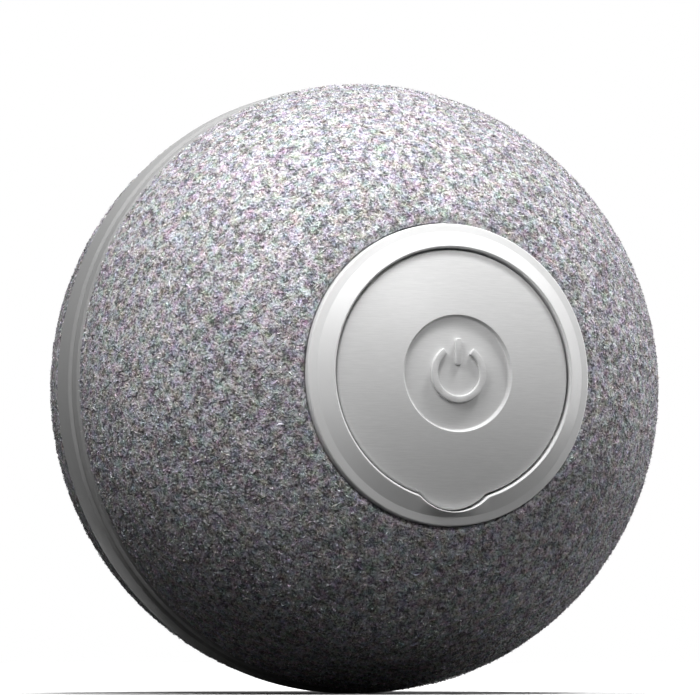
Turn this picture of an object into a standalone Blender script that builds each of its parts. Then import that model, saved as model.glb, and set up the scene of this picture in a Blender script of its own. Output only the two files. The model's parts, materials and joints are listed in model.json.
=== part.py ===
"""Self rolling cat ball, 43 mm across, in metres.

The origin is the centre of the ball. The axle lies along Y, the charging port and its lid face -Y,
and +Z is up. The ball stands on its belt with the swing weight hanging straight down.
"""

import math

import bmesh
import bpy
from mathutils import Matrix

MM = 0.001

# Facets round a full turn, by size of piece
BALL_FACETS = 56
PORT_FACETS = 40
PIECE_FACETS = 24
SMALL_FACETS = 12
SKIN_SPANS = 7
INNER_SPANS = 5
WALL_SPANS = 4
CREASE_ANGLE = math.radians(35)

# The ball's outer skin, a curve a little fuller than an ellipse. Its radius follows from what it holds.
POLE_HEIGHT = 19.44 * MM
CURVE_POWER = 2.12
FELT_THICKNESS = 0.9 * MM
FELT_SEAT_GAP = 0.3 * MM
FELT_EDGE_GAP = 0.2 * MM
SHELL_WALL = 1.3 * MM

# The smooth belt at the equator and the joint of the two shells
BELT_HALF_WIDTH = 2.15 * MM
BELT_PROUD = 0.08 * MM
BELT_EDGE_CHAMFER = 0.15 * MM
PARTING_GAP = 0.12 * MM
FRONT_PARTING_CHAMFER = 0.06 * MM
REAR_PARTING_CHAMFER = 0.16 * MM
TONGUE_LENGTH = 1.3 * MM
TONGUE_WALL = 0.8 * MM
TONGUE_GAP = 0.2 * MM
SEAL_SECTION = 0.3 * MM
SEAL_GAP = 0.12 * MM

# Clearances between seated, running and swinging pieces
FIT_GAP = 0.25 * MM
SEAT_GAP = 0.2 * MM
THIN_GAP = 0.12 * MM
RUN_GAP = 0.08 * MM
SWING_GAP = 0.7 * MM
OVERRUN = 1.0 * MM

# Rims at both poles, as wide as this outside the seam round the lid
RIM_WIDTH = 1.7 * MM
RIM_RISE = 1.0 * MM
RIM_EDGE_HEIGHT = 0.18 * MM
RIM_OUTER_CHAMFER = 0.12 * MM
RIM_FLANGE_WIDTH = 0.57 * MM
RIM_LIP_HEIGHT = 0.2 * MM
RIM_LIP_WIDTH = 0.18 * MM
SEAM = 0.14 * MM

# Port lid
LID_RADIUS = 8.36 * MM
LID_INSET = 0.16 * MM
LID_THICKNESS = 1.0 * MM
LID_CHAMFER = 0.15 * MM
LOBE_RADIUS = 3.14 * MM
LOBE_RISE = 0.75 * MM
LID_LEDGE = 0.7 * MM
LID_SKIRT_DEPTH = 1.0 * MM
LID_SKIRT_WALL = 0.7 * MM
LID_SKIRT_GAP = 0.35 * MM
LID_SKIRT_BACK = 1.2 * MM
DISH_RADIUS = 3.9 * MM
DISH_DEPTH = 0.3 * MM
ANCHOR_HEIGHT = 1.9 * MM
HINGE_GAP = 0.3 * MM
STRAP_WIDTH = 3.4 * MM
STRAP_THICKNESS = 0.5 * MM
STRAP_HEAD_WIDTH = 4.6 * MM
STRAP_HEAD_LENGTH = 0.8 * MM

# Port well, its panel and what opens in it
WELL_DEPTH = 2.4 * MM
WELL_WALL = 0.9 * MM
PANEL_THICKNESS = 1.1 * MM
PANEL_FLANGE = 0.9 * MM
SOCKET_WIDTH = 8.94 * MM
SOCKET_HEIGHT = 3.26 * MM
SOCKET_LENGTH = 6.5 * MM
SOCKET_WALL = 0.3 * MM
SOCKET_CORNER = 1.3 * MM
SOCKET_FLOOR = 1.2 * MM
SOCKET_Z = -1.2 * MM
TONGUE_BLADE_WIDTH = 6.7 * MM
TONGUE_BLADE_THICKNESS = 0.7 * MM
TONGUE_BLADE_LENGTH = 4.4 * MM
BUTTON_RADIUS = 1.55 * MM
BUTTON_PROUD = 0.25 * MM
BUTTON_FLANGE = 0.45 * MM
BUTTON_FLANGE_THICKNESS = 0.4 * MM
BUTTON_STEM_RADIUS = 0.8 * MM
BUTTON_TRAVEL = 0.4 * MM
SWITCH_SIDE = 3.5 * MM
SWITCH_BODY = 1.6 * MM
PLUNGER_RADIUS = 0.75 * MM
PLUNGER_PROUD = 0.7 * MM
LIGHT_RADIUS = 0.6 * MM
LIGHT_HEAD_RADIUS = 1.0 * MM
LIGHT_HEAD_LENGTH = 0.6 * MM
LIGHT_MARGIN = 0.7 * MM
LED_SIDE = 1.6 * MM
LED_HEIGHT = 0.6 * MM

# Circuit board
BOARD_RADIUS = 10.4 * MM
BOARD_THICKNESS = 1.0 * MM
BOARD_LEDGE = 0.3 * MM
CHIP_SIDE = 3.0 * MM
CHIP_HEIGHT = 0.8 * MM
CHIP_X = -6.6 * MM
CHIP_Z = 3.2 * MM

# Chassis drum and its screws into the front shell
POCKET_WALL = 0.6 * MM
CHASSIS_FLANGE = 1.2 * MM
FLANGE_WIDTH = 0.8 * MM
CHASSIS_WALL = 1.0 * MM
EAR_OFFSET = 1.5 * MM
EAR_RADIUS = 2.0 * MM
EAR_INSET = 0.1 * MM
BOSS_RADIUS = 1.6 * MM
SCREW_RADIUS = 0.5 * MM
SCREW_HEAD_RADIUS = 1.0 * MM
SCREW_HEAD_HEIGHT = 0.7 * MM
SCREW_LENGTH = 3.4 * MM
PILOT_GAP = 0.15 * MM
SHELF_THICKNESS = 1.0 * MM
SADDLE_RISE = 2.7 * MM
SADDLE_THICKNESS = 1.4 * MM
SADDLE_SHARES = (0.15, 0.85)
SADDLE_WIDTH = 5.6 * MM
EAR_ANGLES = (30.0, 150.0, 270.0)
POST_ANGLES = (122.0, 200.0, 302.0)

# Battery and motor inside the drum
LEAD_SPACE = 1.4 * MM
BATTERY_WIDTH = 11.4 * MM
BATTERY_CORNER = 1.1 * MM
LEAD_RADIUS = 0.3 * MM
LEAD_SPACING = 3.2 * MM
LEAD_RISE = 3.1 * MM
MOTOR_RADIUS = 4.0 * MM
MOTOR_FLAT = 3.3 * MM
MOTOR_CAP = 0.9 * MM
MOTOR_CAP_GAP = 0.12 * MM
MOTOR_NOSE_RADIUS = 1.4 * MM
MOTOR_SHAFT_RADIUS = 0.45 * MM
MOTOR_SHAFT_DEPTH = 2.0 * MM

# Gear train, all of one tooth size
MODULE = 0.3 * MM
PINION_TEETH = 9
WHEEL_TEETH = 26
OUTPUT_TEETH = 32
PRESSURE_ANGLE = math.radians(20)
TOOTH_SHARE = 0.86
ROOT_SHARE = 1.25
GEAR_WIDTH = 0.9 * MM
GEAR_GAP = 0.25 * MM
JOURNAL_RADIUS = 1.2 * MM
PIN_RADIUS = 0.38 * MM
PIN_DEPTH = 0.7 * MM
FIRST_GEAR_ANGLE = math.radians(-20)
COVER_THICKNESS = 0.8 * MM
POST_RADIUS = 1.25 * MM

# Axle, hub and swing weight
AXLE_RADIUS = 0.9 * MM
AXLE_BOSS_WALL = 0.6 * MM
AXLE_SOCKET_LENGTH = 2.3 * MM
AXLE_SOCKET_WALL = 1.1 * MM
BUSH_WALL = 0.6 * MM
HUB_WALL = 0.7 * MM
HUB_TAIL = 1.1 * MM
WASHER_THICKNESS = 0.3 * MM
WASHER_WIDTH = 1.2 * MM
CARRIER_THICKNESS = 1.2 * MM
CARRIER_HUB_RADIUS = 4.8 * MM
CARRIER_HALF_ANGLE = math.radians(58)
WINDOW_HALF_ANGLE = math.radians(46)
WINDOW_RIB_ANGLE = math.radians(8)
WINDOW_MARGIN = 1.2 * MM
WEIGHT_SECTION = 6.4 * MM
WEIGHT_HALF_ANGLE = math.radians(64)
WEIGHT_SCREW_ANGLE = math.radians(36)
WEIGHT_SCREW_LENGTH = 3.6 * MM


# Depths under the skin
SHELL_DEPTH = FELT_THICKNESS + FELT_SEAT_GAP
INNER_DEPTH = SHELL_DEPTH + SHELL_WALL
WEIGHT_DEPTH = INNER_DEPTH + SWING_GAP

# Radii from the board outwards, through the drum and the weight to the skin
POCKET_RADIUS = BOARD_RADIUS + SEAT_GAP
DRUM_INNER = BOARD_RADIUS - BOARD_LEDGE
DRUM_OUTER = POCKET_RADIUS + POCKET_WALL
SCREW_CIRCLE = DRUM_OUTER + EAR_OFFSET
WEIGHT_INNER = DRUM_OUTER + SWING_GAP
BALL_RADIUS = WEIGHT_INNER + WEIGHT_SECTION + WEIGHT_DEPTH
HEAD_GAP = THIN_GAP

# Radii at the poles, from the lid outwards and inwards
RIM_INNER = LID_RADIUS + SEAM
RIM_RADIUS = RIM_INNER + RIM_WIDTH
WELL_INNER = LID_RADIUS - LID_LEDGE
WELL_OUTER = WELL_INNER + WELL_WALL
OPENING_RADIUS = WELL_OUTER + FIT_GAP


def skin_radius(height, depth=0):
    """Radius, at a height along the axle, of the surface that lies depth under the felt's skin."""
    wide = BALL_RADIUS - depth
    tall = POLE_HEIGHT - depth
    return wide * (1 - (abs(height) / tall) ** CURVE_POWER) ** (1 / CURVE_POWER)


def skin_height(radius, depth=0):
    """Height along the axle of the surface that lies depth under the felt's skin, at a radius."""
    wide = BALL_RADIUS - depth
    tall = POLE_HEIGHT - depth
    return tall * (1 - (radius / wide) ** CURVE_POWER) ** (1 / CURVE_POWER)


def skin_arc(low, high, depth, spans):
    """(radius, height) points of that surface, evenly turned from the height low to the height high."""
    wide = BALL_RADIUS - depth
    tall = POLE_HEIGHT - depth
    first = math.asin((low / tall) ** (CURVE_POWER / 2))
    last = math.asin((high / tall) ** (CURVE_POWER / 2))
    points = []
    for step in range(spans + 1):
        angle = first + (last - first) * step / spans
        radius = wide * math.cos(angle) ** (2 / CURVE_POWER)
        points.append((radius, tall * math.sin(angle) ** (2 / CURVE_POWER)))
    return points


# Heights at the poles, from the rim inwards
RIM_EDGE = skin_height(RIM_RADIUS) + RIM_EDGE_HEIGHT
RIM_TOP = RIM_EDGE + RIM_RISE - RIM_EDGE_HEIGHT
LID_FACE = RIM_TOP - LID_INSET
LID_BACK = LID_FACE - LID_THICKNESS
LEDGE = LID_BACK - FIT_GAP
LAND = skin_height(RIM_RADIUS + SEAT_GAP, SHELL_DEPTH)
POLE_INSIDE = LAND - SHELL_WALL
RIM_BASE = LAND + SEAT_GAP
PANEL_FACE = LEDGE - WELL_DEPTH
PANEL_STEP = PANEL_FACE - PANEL_THICKNESS
PANEL_BACK = PANEL_STEP - PANEL_FLANGE
BOARD_FRONT = PANEL_FACE - SOCKET_LENGTH - THIN_GAP
BOARD_BACK = BOARD_FRONT - BOARD_THICKNESS
FLANGE_FRONT = BOARD_FRONT
FLANGE_BACK = FLANGE_FRONT - CHASSIS_FLANGE
BOARD_SEAT = BOARD_BACK - SEAT_GAP

# Places on the lid and the panel. The button sits midway between the socket and the strap.
LOBE_Z = LOBE_RADIUS - LOBE_RISE - LID_RADIUS
HINGE_Z = LID_RADIUS - ANCHOR_HEIGHT
ANCHOR_LOW = HINGE_Z + HINGE_GAP / 2
STRAP_Z = ANCHOR_LOW + STRAP_THICKNESS / 2
SLOT_HEIGHT = STRAP_THICKNESS + 2 * SEAT_GAP
BUTTON_Z = (STRAP_Z - SLOT_HEIGHT / 2 + SOCKET_Z + SOCKET_HEIGHT / 2) / 2
LIGHT_Z = BUTTON_Z
LIGHT_X = math.sqrt((WELL_INNER - SEAT_GAP - LIGHT_HEAD_RADIUS - LIGHT_MARGIN) ** 2 - LIGHT_Z**2)

# Places along the axle behind the middle, from the rear pole forwards
AXLE_REAR = POLE_INSIDE - FIT_GAP
SOCKET_END = POLE_INSIDE - AXLE_SOCKET_LENGTH
WASHER_REAR = SOCKET_END - THIN_GAP
WASHER_FRONT = WASHER_REAR - WASHER_THICKNESS
HUB_REAR = WASHER_FRONT - THIN_GAP
CARRIER_REAR = HUB_REAR - HUB_TAIL
CARRIER_FRONT = CARRIER_REAR - CARRIER_THICKNESS
OUTPUT_REAR = CARRIER_FRONT - SEAT_GAP
OUTPUT_FRONT = OUTPUT_REAR - GEAR_WIDTH
COVER_REAR = OUTPUT_FRONT - GEAR_GAP
COVER_FRONT = COVER_REAR - COVER_THICKNESS
SECOND_REAR = COVER_FRONT - GEAR_GAP
SECOND_FRONT = SECOND_REAR - GEAR_WIDTH
FIRST_REAR = SECOND_FRONT - GEAR_GAP
FIRST_FRONT = FIRST_REAR - GEAR_WIDTH
WALL_REAR = FIRST_FRONT - GEAR_GAP
WALL_FRONT = WALL_REAR - CHASSIS_WALL
WEIGHT_FRONT = -(FLANGE_BACK - HEAD_GAP - SCREW_HEAD_HEIGHT - SWING_GAP)
WEIGHT_REAR = CARRIER_FRONT - SEAT_GAP
CARRIER_RADIUS = skin_radius(CARRIER_REAR, WEIGHT_DEPTH)
WEIGHT_SCREW_CIRCLE = (WEIGHT_INNER + CARRIER_RADIUS) / 2

# Radii on the axle
AXLE_HOLE = AXLE_RADIUS + THIN_GAP
AXLE_BOSS = AXLE_HOLE + AXLE_BOSS_WALL
BUSH_BORE = AXLE_RADIUS + RUN_GAP
BUSH_OUTER = BUSH_BORE + BUSH_WALL
HUB_BORE = BUSH_OUTER + THIN_GAP
HUB_OUTER = HUB_BORE + HUB_WALL
OUTPUT_BORE = HUB_OUTER + THIN_GAP

# Gear centres, as (x, z)
PINION_PITCH = MODULE * PINION_TEETH / 2
WHEEL_PITCH = MODULE * WHEEL_TEETH / 2
OUTPUT_PITCH = MODULE * OUTPUT_TEETH / 2
MESH_DISTANCE = PINION_PITCH + WHEEL_PITCH
OUTPUT_DISTANCE = PINION_PITCH + OUTPUT_PITCH
MOTOR_AT = (0.0, DRUM_INNER - MOTOR_RADIUS - FIT_GAP)
FIRST_AT = (
    MOTOR_AT[0] + MESH_DISTANCE * math.cos(FIRST_GEAR_ANGLE),
    MOTOR_AT[1] + MESH_DISTANCE * math.sin(FIRST_GEAR_ANGLE),
)


def second_gear_place():
    """Where the second gear meets both the first gear and the output gear, below the first."""
    reach = math.hypot(*FIRST_AT)
    beyond = OUTPUT_DISTANCE**2 + reach**2 - MESH_DISTANCE**2
    turn = math.acos(beyond / (2 * OUTPUT_DISTANCE * reach))
    angle = math.atan2(FIRST_AT[1], FIRST_AT[0]) - turn
    return (OUTPUT_DISTANCE * math.cos(angle), OUTPUT_DISTANCE * math.sin(angle))


SECOND_AT = second_gear_place()
DOWN = math.radians(-90)


def material(name, color, roughness, metallic=0.0):
    """A plain Principled material, made once for each name."""
    made = bpy.data.materials.get(name)
    if made is None:
        made = bpy.data.materials.new(name)
        made.use_nodes = True
        shader = made.node_tree.nodes["Principled BSDF"]
        shader.inputs["Base Color"].default_value = (*color, 1.0)
        shader.inputs["Roughness"].default_value = roughness
        shader.inputs["Metallic"].default_value = metallic
    return made


def felt():
    return material("grey_felt", (0.26, 0.26, 0.27), 0.95)


def shell_plastic():
    return material("silver_grey_plastic", (0.36, 0.36, 0.37), 0.35)


def rim_plastic():
    return material("pale_gloss_plastic", (0.62, 0.62, 0.63), 0.15)


def silicone():
    return material("grey_silicone", (0.5, 0.5, 0.51), 0.4)


def seal_rubber():
    return material("seal_rubber", (0.03, 0.03, 0.03), 0.7)


def chassis_plastic():
    return material("dark_plastic", (0.06, 0.06, 0.065), 0.5)


def gear_plastic():
    return material("white_gear_plastic", (0.8, 0.79, 0.74), 0.4)


def steel():
    return material("steel", (0.6, 0.6, 0.6), 0.3, 1.0)


def cast_weight():
    return material("cast_weight", (0.32, 0.32, 0.33), 0.5, 1.0)


def brass():
    return material("sintered_brass", (0.7, 0.5, 0.2), 0.4, 1.0)


def board_green():
    return material("circuit_board", (0.02, 0.16, 0.07), 0.45)


def part_black():
    return material("black_component", (0.02, 0.02, 0.02), 0.4)


def clear_plastic():
    return material("light_guide", (0.8, 0.82, 0.85), 0.2)


def battery_foil():
    return material("battery_foil", (0.5, 0.52, 0.55), 0.35, 0.6)


def wire(name, color):
    return material(name, color, 0.5)


def add_solid(name, bm, finish):
    """Makes an object of a closed mesh, with its faces pointing out."""
    bmesh.ops.remove_doubles(bm, verts=bm.verts, dist=0.001 * MM)
    bmesh.ops.recalc_face_normals(bm, faces=bm.faces)
    mesh = bpy.data.meshes.new(name)
    bm.to_mesh(mesh)
    bm.free()
    mesh.materials.append(finish)
    made = bpy.data.objects.new(name, mesh)
    bpy.context.scene.collection.objects.link(made)
    return made


def turned(name, outline, finish, facets=PIECE_FACETS, at=(0, 0), closed=True):
    """Turns an outline of (radius, y) points about a line along Y through at, an (x, z) place."""
    bm = bmesh.new()
    half = math.pi / facets
    verts = []
    for radius, y in outline:
        verts.append(bm.verts.new((radius * math.sin(half), y, radius * math.cos(half))))
    edges = [bm.edges.new(pair) for pair in zip(verts, verts[1:])]
    if closed:
        edges.append(bm.edges.new((verts[-1], verts[0])))
    bmesh.ops.spin(
        bm,
        geom=verts + edges,
        cent=(0, 0, 0),
        axis=(0, 1, 0),
        angle=2 * math.pi,
        steps=facets,
        use_merge=True,
    )
    made = add_solid(name, bm, finish)
    made.location = (at[0], 0, at[1])
    return made


def prism(name, outline, front, rear, finish, at=(0, 0)):
    """Extrudes an outline of (x, z) points along Y from front to rear, about the place at."""
    bm = bmesh.new()
    face = bm.faces.new([bm.verts.new((x, front, z)) for x, z in outline])
    grown = bmesh.ops.extrude_face_region(bm, geom=[face])
    moved = [part for part in grown["geom"] if isinstance(part, bmesh.types.BMVert)]
    bmesh.ops.translate(bm, verts=moved, vec=(0, rear - front, 0))
    made = add_solid(name, bm, finish)
    made.location = (at[0], 0, at[1])
    return made


def disc(name, radius, front, rear, finish, facets=PIECE_FACETS, at=(0, 0)):
    """A plain round piece along Y."""
    return turned(name, [(0, front), (radius, front), (radius, rear), (0, rear)], finish, facets, at, False)


def ring(name, inner, outer, front, rear, finish, facets=PIECE_FACETS, at=(0, 0)):
    """A plain tube along Y."""
    outline = [(inner, front), (outer, front), (outer, rear), (inner, rear)]
    return turned(name, outline, finish, facets, at)


def block(name, width, height, front, rear, finish, at=(0, 0)):
    """A box along Y, centred on the place at."""
    x, z = width / 2, height / 2
    return prism(name, [(-x, -z), (x, -z), (x, z), (-x, z)], front, rear, finish, at)


def rounded(width, height, corner, spans=4):
    """(x, z) outline of a rectangle with round corners."""
    points = []
    for quarter, (sx, sz) in enumerate(((1, 1), (-1, 1), (-1, -1), (1, -1))):
        for step in range(spans + 1):
            angle = math.radians(90) * (quarter + step / spans)
            x = sx * (width / 2 - corner) + corner * math.cos(angle)
            points.append((x, sz * (height / 2 - corner) + corner * math.sin(angle)))
    return points


def sector(inner, outer, half_angle, offset=0.0, spans=10):
    """(x, z) outline of part of a flat ring, centred on straight down plus an offset."""
    points = []
    for radius, way in ((outer, 1), (inner, -1)):
        for step in range(spans + 1):
            angle = DOWN + offset + way * half_angle * (2 * step / spans - 1)
            points.append((radius * math.cos(angle), radius * math.sin(angle)))
    return points


def crisp_edges():
    """A node group that shades smooth but for the edges that turn by more than a set angle."""
    group = bpy.data.node_groups.get("crisp_edges")
    if group is not None:
        return group
    group = bpy.data.node_groups.new("crisp_edges", "GeometryNodeTree")
    group.interface.new_socket("Geometry", in_out="INPUT", socket_type="NodeSocketGeometry")
    group.interface.new_socket("Geometry", in_out="OUTPUT", socket_type="NodeSocketGeometry")
    start = group.nodes.new("NodeGroupInput")
    angle = group.nodes.new("GeometryNodeInputMeshEdgeAngle")
    wide = group.nodes.new("FunctionNodeCompare")
    wide.operation = "GREATER_THAN"
    wide.inputs["B"].default_value = CREASE_ANGLE
    faces = group.nodes.new("GeometryNodeSetShadeSmooth")
    edges = group.nodes.new("GeometryNodeSetShadeSmooth")
    edges.domain = "EDGE"
    edges.inputs["Shade Smooth"].default_value = False
    end = group.nodes.new("NodeGroupOutput")
    group.links.new(start.outputs["Geometry"], faces.inputs["Geometry"])
    group.links.new(faces.outputs["Geometry"], edges.inputs["Geometry"])
    group.links.new(angle.outputs["Unsigned Angle"], wide.inputs["A"])
    group.links.new(wide.outputs["Result"], edges.inputs["Selection"])
    group.links.new(edges.outputs["Geometry"], end.inputs["Geometry"])
    return group


def shade_all():
    """Shades every visible solid after its Booleans."""
    for piece in bpy.data.objects:
        if piece.type == "MESH" and not piece.hide_render:
            piece.modifiers.new("crisp_edges", "NODES").node_group = crisp_edges()


def as_tool(tool):
    """Keeps a piece as a helper for a Boolean only."""
    tool.hide_render = True
    tool.display_type = "WIRE"
    return tool


def combine(target, tool, operation):
    step = target.modifiers.new(tool.name, "BOOLEAN")
    step.operation = operation
    step.solver = "EXACT"
    step.object = as_tool(tool)
    return target


def joined(tools):
    """One helper made of several that don't touch each other."""
    bm = bmesh.new()
    for tool in tools:
        shape = tool.data.copy()
        shape.transform(Matrix.Translation(tool.location))
        bm.from_mesh(shape)
    name = f"{tools[0].name}_tools"
    finish = tools[0].data.materials[0]
    for tool in tools:
        bpy.data.objects.remove(tool)
    return add_solid(name, bm, finish)


def cut(target, *tools):
    """Takes helpers away from a piece. Helpers given in one call don't touch each other."""
    tool = joined(tools) if len(tools) > 1 else tools[0]
    return combine(target, tool, "DIFFERENCE")


def fuse(target, *tools):
    for tool in tools:
        combine(target, tool, "UNION")
    return target


def place_origin(piece, origin):
    """Moves a piece's origin to a point without moving its shape."""
    shift = Matrix.Translation([now - new for now, new in zip(piece.location, origin)])
    piece.data.transform(shift)
    piece.location = origin


def circle_place(radius, angle):
    """The (x, z) place at a radius and an angle from +X towards +Z."""
    return (radius * math.cos(angle), radius * math.sin(angle))


def mirrored(outline, side):
    """The outline of a front or rear piece: side is -1 at the front, 1 at the rear."""
    return [(radius, side * height) for radius, height in outline]


def shell_outside(parting_chamfer):
    """From the parting face over the belt and under the felt to the flat land at the pole."""
    start = PARTING_GAP / 2
    edge = skin_radius(BELT_HALF_WIDTH) + BELT_PROUD
    points = [
        (BALL_RADIUS - parting_chamfer, start),
        (BALL_RADIUS, start + parting_chamfer),
        (edge, BELT_HALF_WIDTH - BELT_EDGE_CHAMFER),
        (edge - BELT_EDGE_CHAMFER, BELT_HALF_WIDTH),
    ]
    return points + skin_arc(BELT_HALF_WIDTH, LAND, SHELL_DEPTH, INNER_SPANS)


def shell_inside(low):
    """Back along the inner wall, from the pole to the height low."""
    return skin_arc(low, POLE_INSIDE, INNER_DEPTH, WALL_SPANS)[::-1]


def front_shell():
    inner = BALL_RADIUS - INNER_DEPTH
    tongue = inner + TONGUE_WALL
    outline = shell_outside(FRONT_PARTING_CHAMFER)
    outline += [(OPENING_RADIUS, LAND), (OPENING_RADIUS, POLE_INSIDE)]
    outline += shell_inside(0)
    outline += [(inner, -TONGUE_LENGTH), (tongue, -TONGUE_LENGTH), (tongue, PARTING_GAP / 2)]
    shell = turned("front_shell", mirrored(outline, -1), shell_plastic(), BALL_FACETS)
    pilots = []
    for number, degrees in enumerate(EAR_ANGLES, 1):
        angle = math.radians(degrees)
        fuse(shell, shell_boss(f"boss_{number}", angle))
        pilot = disc(f"pilot_{number}", SCREW_RADIUS + PILOT_GAP, -(FLANGE_FRONT + SCREW_LENGTH), -FLANGE_BACK,
                     shell_plastic(), SMALL_FACETS, circle_place(SCREW_CIRCLE, angle))
        pilots.append(pilot)
    return cut(shell, *pilots)


def shell_boss(name, angle):
    """A screw boss whose far end follows the middle of the shell's wall."""
    at = circle_place(SCREW_CIRCLE, angle)
    boss = disc(name, BOSS_RADIUS, -POLE_INSIDE, -(FLANGE_FRONT + SEAT_GAP), shell_plastic(), SMALL_FACETS, at)
    middle = SHELL_DEPTH + SHELL_WALL / 2
    for vert in boss.data.vertices:
        if vert.co.y < -(FLANGE_FRONT + FIT_GAP):
            vert.co.y = -skin_height(math.hypot(vert.co.x + at[0], vert.co.z + at[1]), middle)
    return boss


def rear_shell():
    rebate = BALL_RADIUS - INNER_DEPTH + TONGUE_WALL + TONGUE_GAP
    rebate_end = TONGUE_LENGTH + 2 * (SEAL_SECTION + SEAL_GAP)
    outline = [(0, LAND)]
    outline += shell_outside(REAR_PARTING_CHAMFER)[::-1]
    outline += [(rebate, PARTING_GAP / 2), (rebate, rebate_end)]
    outline += shell_inside(rebate_end)[::-1]
    outline += [
        (AXLE_HOLE + AXLE_SOCKET_WALL, POLE_INSIDE),
        (AXLE_HOLE + AXLE_SOCKET_WALL, SOCKET_END),
        (AXLE_HOLE, SOCKET_END),
        (AXLE_HOLE, POLE_INSIDE),
        (0, POLE_INSIDE),
    ]
    return turned("rear_shell", outline, shell_plastic(), BALL_FACETS, closed=False)


def seal_ring():
    """The soft ring at the tip of the front shell's tongue, inside the rear shell's rebate."""
    middle_radius = BALL_RADIUS - INNER_DEPTH + SEAL_SECTION + SEAL_GAP
    middle_y = TONGUE_LENGTH + SEAL_SECTION + SEAL_GAP
    outline = []
    for step in range(SMALL_FACETS // 2):
        angle = 4 * math.pi * step / SMALL_FACETS
        radius = middle_radius + SEAL_SECTION * math.cos(angle)
        outline.append((radius, middle_y + SEAL_SECTION * math.sin(angle)))
    return turned("seal_ring", outline, seal_rubber(), BALL_FACETS)


def felt_cover(name, side):
    low = BELT_HALF_WIDTH + FELT_EDGE_GAP
    edge = RIM_RADIUS + FELT_EDGE_GAP
    outline = skin_arc(low, skin_height(edge), 0, SKIN_SPANS)
    outline += skin_arc(low, skin_height(edge, FELT_THICKNESS), FELT_THICKNESS, INNER_SPANS)[::-1]
    return turned(name, mirrored(outline, side), felt(), BALL_FACETS)


def rim_face():
    """The rim's visible face, from the inner lip over the cone and the outer flange to its base."""
    flange = RIM_EDGE + RIM_OUTER_CHAMFER
    return [
        (RIM_INNER, RIM_TOP - RIM_LIP_HEIGHT),
        (RIM_INNER + RIM_LIP_WIDTH, RIM_TOP),
        (RIM_RADIUS - RIM_FLANGE_WIDTH, flange),
        (RIM_RADIUS - RIM_OUTER_CHAMFER, flange),
        (RIM_RADIUS, RIM_EDGE),
        (RIM_RADIUS, RIM_BASE),
    ]


def front_rim():
    """The port's bezel: the rim, the ledge under the lid and the wall of the well, in one piece."""
    tube_end = PANEL_STEP + SEAT_GAP
    outline = rim_face()
    outline += [
        (WELL_OUTER, RIM_BASE),
        (WELL_OUTER, tube_end),
        (WELL_INNER, tube_end),
        (WELL_INNER, LEDGE),
        (RIM_INNER, LEDGE),
    ]
    rim = turned("front_rim", mirrored(outline, -1), rim_plastic(), PORT_FACETS)
    notch = disc("lobe_notch", LOBE_RADIUS + SEAM, -(RIM_TOP + OVERRUN), -LEDGE, rim_plastic(), PIECE_FACETS, (0, LOBE_Z))
    return cut(rim, notch)


def rear_rim():
    outline = rim_face() + [(RIM_INNER, RIM_BASE)]
    return turned("rear_rim", outline, rim_plastic(), PORT_FACETS)


def rear_end_cap():
    """A plain cap, its flat face level with the rim, and a skirt that stands on the shell's land."""
    skirt = LID_RADIUS - LID_LEDGE
    outline = [
        (0, RIM_TOP),
        (LID_RADIUS - LID_CHAMFER, RIM_TOP),
        (LID_RADIUS, RIM_TOP - LID_CHAMFER),
        (LID_RADIUS, RIM_BASE),
        (skirt, RIM_BASE),
        (skirt, LID_BACK),
        (0, LID_BACK),
    ]
    return turned("rear_end_cap", outline, shell_plastic(), PORT_FACETS, closed=False)


def lid_blank(name):
    """The whole lid with its thumb lobe, before it is split at the bend line."""
    outline = [
        (0, -LID_FACE),
        (LID_RADIUS - LID_CHAMFER, -LID_FACE),
        (LID_RADIUS, -(LID_FACE - LID_CHAMFER)),
        (LID_RADIUS, -LID_BACK),
        (0, -LID_BACK),
    ]
    blank = turned(name, outline, silicone(), PORT_FACETS, closed=False)
    lobe_outline = [
        (0, -LID_FACE),
        (LOBE_RADIUS - LID_CHAMFER, -LID_FACE),
        (LOBE_RADIUS, -(LID_FACE - LID_CHAMFER)),
        (LOBE_RADIUS, -LID_BACK),
        (0, -LID_BACK),
    ]
    lobe = turned(f"{name}_lobe", lobe_outline, silicone(), PIECE_FACETS, (0, LOBE_Z), closed=False)
    return fuse(blank, lobe)


def half_space(name, low, high):
    """A tool as wide as the lid that covers the heights z from low to high."""
    middle = (low + high) / 2
    wide = 2 * (LID_RADIUS + OVERRUN)
    return block(name, wide, high - low, -(LID_FACE + OVERRUN), -POLE_INSIDE, silicone(), (0, middle))


def port_lid():
    """The moving part of the lid, which bends outwards along a line under its top edge."""
    lid = lid_blank("port_lid")
    outer = WELL_INNER - LID_SKIRT_GAP
    skirt = ring("lid_skirt", outer - LID_SKIRT_WALL, outer, -(LID_BACK + THIN_GAP), -(LID_BACK - LID_SKIRT_DEPTH),
                 silicone(), PORT_FACETS)
    cut(skirt, half_space("lid_skirt_cut", HINGE_Z - LID_SKIRT_BACK, LID_RADIUS + OVERRUN))
    dish = disc("lid_dish", DISH_RADIUS, -(LID_FACE + OVERRUN), -(LID_FACE - DISH_DEPTH), silicone())
    fuse(lid, skirt)
    cut(lid, dish, half_space("lid_top_cut", HINGE_Z - HINGE_GAP / 2, LID_RADIUS + OVERRUN))
    place_origin(lid, (0, -LID_FACE, HINGE_Z))
    return lid


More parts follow.
